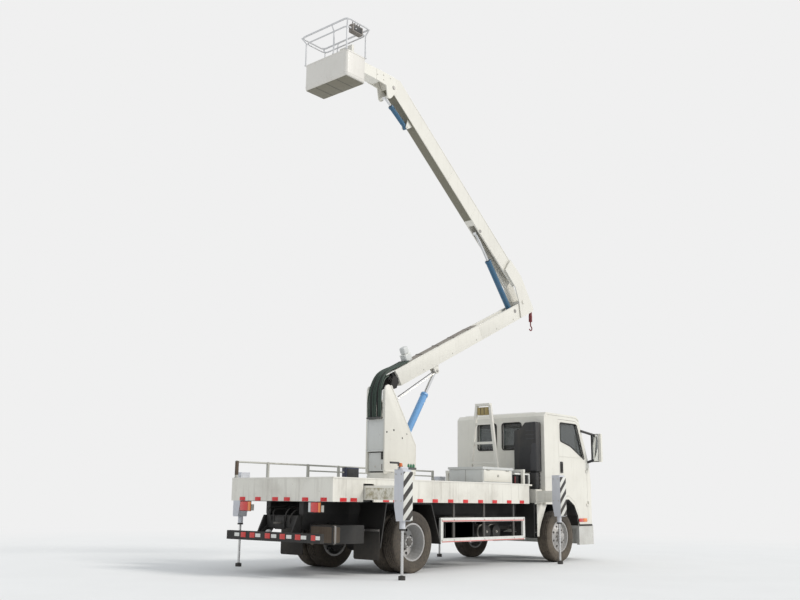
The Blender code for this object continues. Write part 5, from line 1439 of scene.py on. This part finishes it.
# Place and pin of the base, place and pin of the rod's eye, radii of barrel and rod, barrel's length, finish.
CYLINDERS = {
    "lift": (TURRET, LIFT_BASE, LOWER, LIFT_EYE, 0.068, 0.036, 1.76, "light blue enamel"),
    "fold": (LOWER, FOLD_BASE, UPPER, (2.000, 0.060), 0.062, 0.032, 1.30, "dark blue enamel"),
    "level": (UPPER, (4.869, -0.070), BASKET, (-0.130, -0.220), 0.045, 0.018, 0.55, "dark blue enamel"),
}


class TRUCK_OT_cylinder_trim(bpy.types.Operator):
    """Glands, ports and pipes of the cylinders"""

    bl_idname = "truck.cylinder_trim"
    bl_label = "Cylinder trim"

    def execute(self, context):
        for name, (base_place, base, eye_place, eye, radius, rod_radius, length, blue) in CYLINDERS.items():
            start = base_place @ Vector((base[0], 0, base[1]))
            end = eye_place @ Vector((eye[0], 0, eye[1]))
            way = (end - start).normalized()
            side = way.cross(Vector((0, 1, 0))).normalized()
            place = Matrix((way, Vector((0, 1, 0)), side)).transposed().to_4x4()
            place = Matrix.Translation(start) @ place
            piece = Piece(f"{name}_gland", f"{name}_barrel", place)
            inner = rod_radius + 0.002
            gland = [
                (inner, -0.055), (radius + 0.006, -0.055), (radius + 0.008, -0.050),
                (radius + 0.008, -0.012), (radius + 0.004, -0.004), (inner, -0.004),
            ]
            wiper = [
                (rod_radius + 0.001, -0.006), (rod_radius + 0.010, -0.006),
                (rod_radius + 0.008, 0.006), (rod_radius + 0.001, 0.006),
            ]
            piece.add(turned_at([(r, length + x) for r, x in gland], (0, 0, 0), 28, (1, 0, 0)), blue)
            piece.add(turned_at([(r, length + x) for r, x in wiper], (0, 0, 0), 24, (1, 0, 0)),
                      "black rubber")
            if name != "fold":
                cylinder_pipe(piece, radius, length, blue)
            piece.done()
        return {"FINISHED"}


def cylinder_pipe(piece, radius, length, blue):
    """Two ports on a barrel and the pipe between them. The folding cylinder has no room for them."""
    y = radius * 0.2
    first, last = 0.16, length - 0.12
    for at in (first, last):
        piece.add(rod((at, y, -radius * 0.85), (at, y, -radius - 0.030), 0.016, None, 12, 0.002), blue)
        piece.add(rod((at, y, -radius - 0.028), (at, y, -radius - 0.046), 0.013, None, 6, 0.002),
                  "zinc plate")
    low, high = -radius - 0.040, -radius - 0.014
    line = [(first, low), (first + 0.06, low + 0.010), (first + 0.14, high)]
    line += [(last - 0.16, high), (last - 0.07, low + 0.010), (last, low)]
    piece.add(pipe([(at, y, z) for at, z in line], 0.008, 2), "bare steel")


# Cab

class TRUCK_OT_cab_trim(bpy.types.Operator):
    """Window seals, gutters, lamps, mirrors' glass, wipers and grille bars"""

    bl_idname = "truck.cab_trim"
    bl_label = "Cab trim"

    def execute(self, context):
        cab_outside()
        cab_front()
        intake_body()
        for name, side in SIDES:
            door_trim(name, side)
        return {"FINISHED"}


def seal(corners, radius=0.012):
    """A rubber seal round a window."""
    return pipe(corners, radius, 2, True, False)


def rounded(corners, cut=0.05):
    """Cuts the corners of a loop of points in two steps, so that a seal turns in a curve."""
    points = [Vector(corner) for corner in corners]
    loop = []
    for i, corner in enumerate(points):
        back = (points[i - 1] - corner).normalized() * cut
        on = (points[(i + 1) % len(points)] - corner).normalized() * cut
        loop += [corner + back, corner + back * 0.3 + on * 0.3, corner + on]
    return loop


def cab_outside():
    piece = Piece("cab_trim", "chassis")
    for _, side in SIDES:
        window = [(4.186, side * 0.075, 2.235), (4.186, side * 0.555, 2.235), (4.186, side * 0.555, 2.785),
                  (4.186, side * 0.075, 2.785)]
        piece.add(seal(rounded(window, 0.05), 0.014), "black rubber")
        y = side * CAB_FACE
        piece.add(pipe([(4.24, y, 2.90), (4.30, y, 2.945), (5.44, y, 2.945), (5.56, y, 2.885)], 0.010, 2,
                       False, False), "cream enamel")
        arch = [(4.46, 1.14), (4.75, 1.20), (5.07, 1.22), (5.275, 1.11), (5.41, 0.905), (5.47, 0.72)]
        piece.add(pipe([(x, y, z) for x, z in arch], 0.014, 2, False, False), "black rubber")
        # A near-black strip low on the cab's side: painted shade in the gap below the side lamps.
        piece.add(block((5.475, y - side * 0.0015, 0.690), (6.015, y + side * 0.005, 0.726), 0.002),
                  "painted recess shade")
        piece.add(block((5.470, y - side * 0.0015, 0.775), (5.640, y + side * 0.010, 0.845), 0.004),
                  "red lens")
        piece.add(block((5.645, y - side * 0.0015, 0.775), (5.800, y + side * 0.010, 0.845), 0.004),
                  "amber lens")
        guard = [(3.965, 1.128), (4.33, 1.128), (4.24, 0.98), (4.127, 0.80), (4.05, 0.62), (4.035, 0.505),
                 (3.965, 0.505)]
        piece.add(plate(guard, "Y", side * 1.0405, side * 1.0485, 0.002), "cream enamel")
        piece.add(block((4.20, y - side * 0.004, 1.66), (4.70, y + side * 0.002, 1.672), 0.001),
                  "cream enamel")
    for x in (4.20, 5.40):
        piece.add(block((x, -0.9, 2.978), (x + 0.02, 0.9, 2.986), 0.003), "cream enamel")
    piece.done()


def intake_body():
    """The air intake with its stepped top, in place of the plain box."""
    piece = Piece("intake_body", "chassis")
    shape = [(-1.04, 1.77), (-0.50, 1.77), (-0.50, 2.60), (-0.53, 2.63), (-0.64, 2.625), (-0.77, 2.765),
             (-1.02, 2.77), (-1.04, 2.75)]
    piece.add(plate(shape, "X", 3.985, 4.190, 0.022), "dark plastic")
    duct = [(-1.03, 1.80), (-0.90, 1.80), (-0.90, 2.10), (-0.93, 2.16), (-0.93, 2.30), (-0.96, 2.34),
            (-1.03, 2.34)]
    piece.add(plate(duct, "X", 3.9805, 3.9870, 0.002), "cab trim")
    for z in (2.42, 2.50, 2.58):
        piece.add(block((3.981, -1.00, z), (3.9865, -0.80, z + 0.02), 0.002), "cab trim")
    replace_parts(piece.done(), "air_intake")


def cab_front():
    piece = Piece("cab_front_trim", "chassis")
    for i in range(7):
        z = 0.86 + i * 0.085
        piece.add(block((6.043, -0.70, z), (6.056, 0.70, z + 0.040), 0.005), "cream enamel")
    for _, side in SIDES:
        lamp = turned([(0, 0.0), (0.052, 0.0), (0.060, 0.006), (0.058, 0.014), (0.040, 0.024), (0, 0.028)],
                      28)
        piece.add(put(lamp, (6.030, side * 0.88, 0.525), (1, 0, 0)), "clear lens")
        lamp = turned([(0, 0.0), (0.040, 0.0), (0.044, 0.006), (0.030, 0.018), (0, 0.022)], 24)
        piece.add(put(lamp, (6.030, side * 0.70, 0.525), (1, 0, 0)), "clear lens")
        piece.add(block((6.012, side * 0.80, 1.20), (6.030, side * 1.00, 1.26), 0.006), "amber lens")
        low = Vector((5.965, side * 0.45, 1.93))
        high = Vector((5.74, side * 0.20, 2.50))
        piece.add(rod(low, low.lerp(high, 0.96), 0.008, 0.005, 8, 0.001), "dark plastic")
        blade = Vector((0.012, 0, 0))
        piece.add(rod(low.lerp(high, 0.35) + blade, high + blade + Vector((0, side * -0.05, 0)), 0.010,
                      None, 6, 0.001), "black rubber")
        piece.add(block((5.9605, side * 1.174, 2.034), (5.9648, side * 1.350, 2.626), 0.002), "dark plastic")
        piece.add(block((5.9575, side * 1.214, 2.046), (5.9610, side * 1.344, 2.614), 0.0015), "mirror glass")
        piece.add(block((5.9640, side * 1.1665, 2.0265), (6.0335, side * 1.186, 2.6335), 0.008),
                  "dark plastic")
        for start, end in (((5.90, 1.106, 2.02), (5.985, 1.235, 2.075)),
                           ((5.64, 1.106, 2.68), (5.985, 1.255, 2.60))):
            points = [(start[0], side * start[1], start[2]), (end[0], side * end[1], end[2])]
            piece.add(rod(points[0], points[1], 0.027, None, 12, 0.003), "dark plastic")
    window = [(5.952, -0.985, 1.995), (5.952, 0.985, 1.995), (5.612, 0.985, 2.825), (5.612, -0.985, 2.825)]
    piece.add(seal(rounded(window, 0.06), 0.014), "black rubber")
    piece.add(block((6.0605, -0.26, 0.36), (6.062, 0.26, 0.46), 0.0006), "white marking")
    piece.done()


DOOR_WINDOW = ((4.80, 2.42), (5.20, 2.33), (5.76, 2.07), (5.46, 2.80), (4.80, 2.80))


def door_trim(name, side):
    piece = Piece(f"door_trim_{name}", f"door_{name}")
    y = side * CAB_FACE
    window = [(x, y, z) for x, z in DOOR_WINDOW]
    piece.add(seal(rounded(window, 0.035), 0.012), "black rubber")
    piece.add(block((4.776, y - side * 0.0015, 1.765), (4.864, y + side * 0.020, 1.995), 0.008, 3),
              "dark plastic")
    # Near-black inside the door handle's pocket: painted shade.
    piece.add(block((4.790, y + side * 0.0195, 1.80), (4.850, y + side * 0.026, 1.96), 0.003), "painted recess shade")
    piece.add(block((4.80, y, 1.46), (5.05, y + side * 0.004, 1.468), 0.001), "cream enamel")
    piece.add(block((4.76, y, 2.10), (5.84, y + side * 0.005, 2.112), 0.001), "cream enamel")
    piece.done()


# Basket and hook

class TRUCK_OT_basket_trim(bpy.types.Operator):
    """The tub, its bottom plate and floor ribs, rail joints, and the control box with its levers"""

    bl_idname = "truck.basket_trim"
    bl_label = "Basket trim"

    def execute(self, context):
        piece = Piece("basket_trim", "basket", BASKET)
        front, rear, half = -1.2403, -1.7632, 0.545
        piece.add(basket_shell(rear, front, half), "basket beige")
        # A dark olive plate over the tub's bottom: painted shade on the downward face.
        piece.add(block((rear + 0.036, -0.515, -0.5055), (front - 0.036, 0.515, -0.4965), 0.003),
                  "painted tub bottom shade")
        for y in (-0.27, 0.0, 0.27):
            piece.add(block((rear + 0.047, y - 0.005, -0.5070), (front - 0.047, y + 0.005, -0.5050),
                            0.0008), "dark plastic")
        basket_rails(front, rear, half)
        top = 0.5402
        x0 = rear + 0.118
        piece.add(rod((x0 + 0.06, -half + 0.012, 0.455), (x0 + 0.06, -half - 0.058, 0.44), 0.010, None, 10),
                  "rail paint")
        piece.add(block((x0, -0.5770, 0.385), (x0 + 0.270, -0.467, 0.540), 0.012, 3), "control grey")
        piece.add(block((x0 + 0.03, -0.5800, 0.41), (x0 + 0.24, -0.5768, 0.515), 0.002), "dark plastic")
        for i in range(4):
            x = x0 + 0.04 + 0.06 * i
            piece.add(rod((x, -0.52, top - 0.002), (x + 0.006, -0.52, top + 0.045), 0.005, None, 8, 0.001),
                      "bare steel")
            piece.add(rod((x + 0.006, -0.52, top + 0.040), (x + 0.007, -0.52, top + 0.062), 0.010, 0.008,
                          12, 0.003), "black rubber")
        piece.add(rod((x0 + 0.03, -0.49, top - 0.001), (x0 + 0.03, -0.49, top + 0.014), 0.012, None, 14,
                      0.003), "red lens")
        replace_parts(piece.done(), "basket_tub")
        arm = Piece("basket_arm_trim", "basket", BASKET)
        for _, side in SIDES:
            y = side * 0.1252
            arm.add(turned_at(pin_head(0.034), (0, y + side * 0.001, 0), 20, (0, side, 0)), "bare steel")
            for x, z in ((-0.10, 0.16), (-0.30, 0.16), (-0.48, 0.11), (-0.30, 0.06)):
                arm.add(bolt((x, y, z), (0, side, 0), 0.010, 0.008), "zinc plate")
        arm.done()
        return {"FINISHED"}


def basket_rails(front, rear, half):
    """Two tube rings above the tub, the upper one wider, on posts that lean outwards."""
    piece = Piece("basket_rail_tubes", "basket", BASKET)
    low = [(rear + 0.012, -half + 0.012, 0.455), (front - 0.018, -half + 0.012, 0.455),
           (front - 0.018, half - 0.012, 0.455), (rear + 0.012, half - 0.012, 0.455)]
    high = [(rear - 0.048, -half - 0.058, 0.566), (front + 0.004, -half - 0.058, 0.566),
            (front + 0.004, half + 0.058, 0.566), (rear - 0.048, half + 0.058, 0.566)]
    for loop, radius in ((low, 0.014), (high, 0.018)):
        piece.add(pipe(rounded(loop, 0.07), radius, 3, True, False), "rail paint")
    posts = [(low[i], high[i]) for i in range(4)]
    posts.append(((low[0][0], -0.20, 0.455), (high[0][0], -0.20, 0.566)))
    posts.append(((low[1][0], 0.20, 0.455), (high[1][0], 0.20, 0.566)))
    for below, above in posts:
        foot = Vector((below[0], below[1], 0.0003))
        piece.add(rod(foot, below, 0.0145, None, 14, 0.002), "rail paint")
        piece.add(rod(below, above, 0.0135, None, 14, 0.002), "rail paint")
        cup = [(0.0, 0.0002), (0.026, 0.0002), (0.026, 0.006), (0.018, 0.010), (0.017, 0.030), (0.0, 0.030)]
        piece.add(turned_at(cup, tuple(foot), 16), "rail paint")
    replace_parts(piece.done(), "basket_rails")


def basket_shell(rear, front, half):
    """A sheet-metal tub with rounded corners, a rolled rim and an inner floor."""
    bm = bmesh.new()
    rings = (
        (-0.030, -0.4970), (-0.008, -0.4900), (0.0, -0.4700), (0.0, -0.4450), (0.004, -0.4400),
        (0.004, -0.4200), (0.0, -0.4150),
        (0.0, -0.0300), (0.006, -0.0240), (0.006, -0.0050), (0.002, 0.0), (-0.030, 0.0), (-0.034, -0.0040),
        (-0.034, -0.0100),
        (-0.012, -0.0120), (-0.012, -0.4600), (-0.030, -0.4750),
    )
    loops = []
    for grow, z in rings:
        loop = []
        radius = 0.075 + grow
        for cx, cy, first in ((front - 0.075, half - 0.075, 0), (rear + 0.075, half - 0.075, 90),
                              (rear + 0.075, -half + 0.075, 180), (front - 0.075, -half + 0.075, 270)):
            loop += [bm.verts.new((x, y, z)) for x, y in arc((cx, cy), radius, first, first + 90, 6)]
        loops.append(loop)
    for low, high in zip(loops, loops[1:]):
        for i, vert in enumerate(low):
            after = (i + 1) % len(low)
            bm.faces.new((vert, low[after], high[after], high[i]))
    bm.faces.new(list(reversed(loops[0])))
    bm.faces.new(loops[-1])
    bmesh.ops.recalc_face_normals(bm, faces=bm.faces[:])
    return bm


# Outriggers

class TRUCK_OT_outrigger_trim(bpy.types.Operator):
    """Striped boards, guide bolts, hand valves and jack seals"""

    bl_idname = "truck.outrigger_trim"
    bl_label = "Outrigger trim"

    def execute(self, context):
        for row, x, y, low, high in OUTRIGGERS:
            for name, side in SIDES:
                piece = Piece(f"outrigger_trim_{row}_{name}", f"outrigger_{row}_{name}")
                face = side * (y + 0.085 + 0.012)
                board = block((x - 0.098, face + side * 0.0003, low + 0.012),
                              (x + 0.118, face + side * 0.004, high - 0.022), 0.0012)
                piece.add(board, "striped board")
                top = block((x - 0.103, side * (y - 0.088), high - 0.001),
                            (x + 0.103, side * (y + 0.088), high + 0.012), 0.004)
                piece.add(top, "outrigger grey")
                for by in (-0.055, 0.055):
                    for z in (low + 0.30, high - 0.06):
                        piece.add(bolt((x - 0.1002, side * (y + by), z), (-1, 0, 0), 0.009, 0.007),
                                  "zinc plate")
                if (row, name) == ("rear", "right"):
                    add_valves(piece, x, side * y, high + 0.012)
                seal_ring = [(0.024, -0.012), (0.050, -0.012), (0.052, 0.0), (0.046, 0.014), (0.024, 0.014)]
                piece.add(turned_at(seal_ring, (x, side * y, low - 0.128), 20), "black rubber")
                piece.done()
        return {"FINISHED"}


def add_valves(piece, x, y, z):
    """The hand valves on top of the right rear leg."""
    piece.add(block((x - 0.085, y - 0.040, z - 0.001), (x + 0.085, y + 0.040, z + 0.040), 0.008),
              "outrigger grey")
    piece.add(rod((x - 0.09, y, z + 0.025), (x - 0.02, y, z + 0.055), 0.014, None, 12, 0.002), "cast iron")
    piece.add(block((x - 0.300, y - 0.014, z + 0.082), (x - 0.100, y + 0.014, z + 0.112), 0.008),
              "dark plastic")
    piece.add(rod((x - 0.110, y, z + 0.050), (x - 0.110, y, z + 0.100), 0.012, None, 10), "cast iron")
    cap = [(0, 0.060), (0.022, 0.058), (0.030, 0.046), (0.030, 0.010), (0.022, 0.0), (0, 0.0)]
    piece.add(turned_at(cap, (x - 0.060, y, z + 0.039), 20), "orange cap")
    piece.add(block((x + 0.080, y - 0.022, z + 0.004), (x + 0.300, y + 0.022, z + 0.038), 0.008), "cast iron")
    for offset in (0.130, 0.190, 0.250):
        piece.add(rod((x + offset, y, z + 0.036), (x + offset, y, z + 0.085), 0.020, 0.016, 14, 0.004),
                  "valve green")
        piece.add(rod((x + offset, y, z + 0.083), (x + offset, y, z + 0.100), 0.009, None, 10, 0.002),
                  "zinc plate")


class TRUCK_PT_panel(bpy.types.Panel):
    """Lists the pieces and their settings."""

    bl_idname = "TRUCK_PT_panel"
    bl_label = "Cherry picker truck"
    bl_space_type = "VIEW_3D"
    bl_region_type = "UI"
    bl_category = "Truck"

    def draw(self, context):
        layout = self.layout
        for settings in (context.scene.truck_colours, context.scene.truck_trim, context.scene.truck_stage):
            box = layout.box()
            for name in settings.__annotations__:
                box.prop(settings, name)
        for operator in OPERATORS:
            layout.operator(operator.bl_idname)


OPERATORS = (
    TRUCK_OT_stage,
    TRUCK_OT_finishes,
    TRUCK_OT_tyres,
    TRUCK_OT_wheel_trim,
    TRUCK_OT_reflectors,
    TRUCK_OT_under_run,
    TRUCK_OT_springs,
    TRUCK_OT_underbody,
    TRUCK_OT_guards,
    TRUCK_OT_deck_trim,
    TRUCK_OT_railing_trim,
    TRUCK_OT_box_trim,
    TRUCK_OT_turret,
    TRUCK_OT_hoses,
    TRUCK_OT_lower_boom,
    TRUCK_OT_upper_boom_trim,
    TRUCK_OT_cylinder_trim,
    TRUCK_OT_cab_trim,
    TRUCK_OT_basket_trim,
    TRUCK_OT_outrigger_trim,
)
GROUPS = (TruckColours, TruckTrim, TruckStage)


def register():
    for cls in GROUPS + OPERATORS + (TRUCK_PT_panel,):
        bpy.utils.register_class(cls)
    bpy.types.Scene.truck_colours = bpy.props.PointerProperty(type=TruckColours)
    bpy.types.Scene.truck_trim = bpy.props.PointerProperty(type=TruckTrim)
    bpy.types.Scene.truck_stage = bpy.props.PointerProperty(type=TruckStage)


def unregister():
    del bpy.types.Scene.truck_stage
    del bpy.types.Scene.truck_trim
    del bpy.types.Scene.truck_colours
    for cls in reversed(GROUPS + OPERATORS + (TRUCK_PT_panel,)):
        bpy.utils.unregister_class(cls)


def main():
    register()
    bpy.ops.truck.stage()
    bpy.ops.truck.finishes()
    bpy.ops.truck.tyres()
    bpy.ops.truck.wheel_trim()
    bpy.ops.truck.reflectors()
    bpy.ops.truck.under_run()
    bpy.ops.truck.springs()
    bpy.ops.truck.underbody()
    bpy.ops.truck.guards()
    bpy.ops.truck.deck_trim()
    bpy.ops.truck.railing_trim()
    bpy.ops.truck.box_trim()
    bpy.ops.truck.turret()
    bpy.ops.truck.hoses()
    bpy.ops.truck.lower_boom()
    bpy.ops.truck.upper_boom_trim()
    bpy.ops.truck.cylinder_trim()
    bpy.ops.truck.cab_trim()
    bpy.ops.truck.basket_trim()
    bpy.ops.truck.outrigger_trim()


if __name__ == "__main__":
    main()
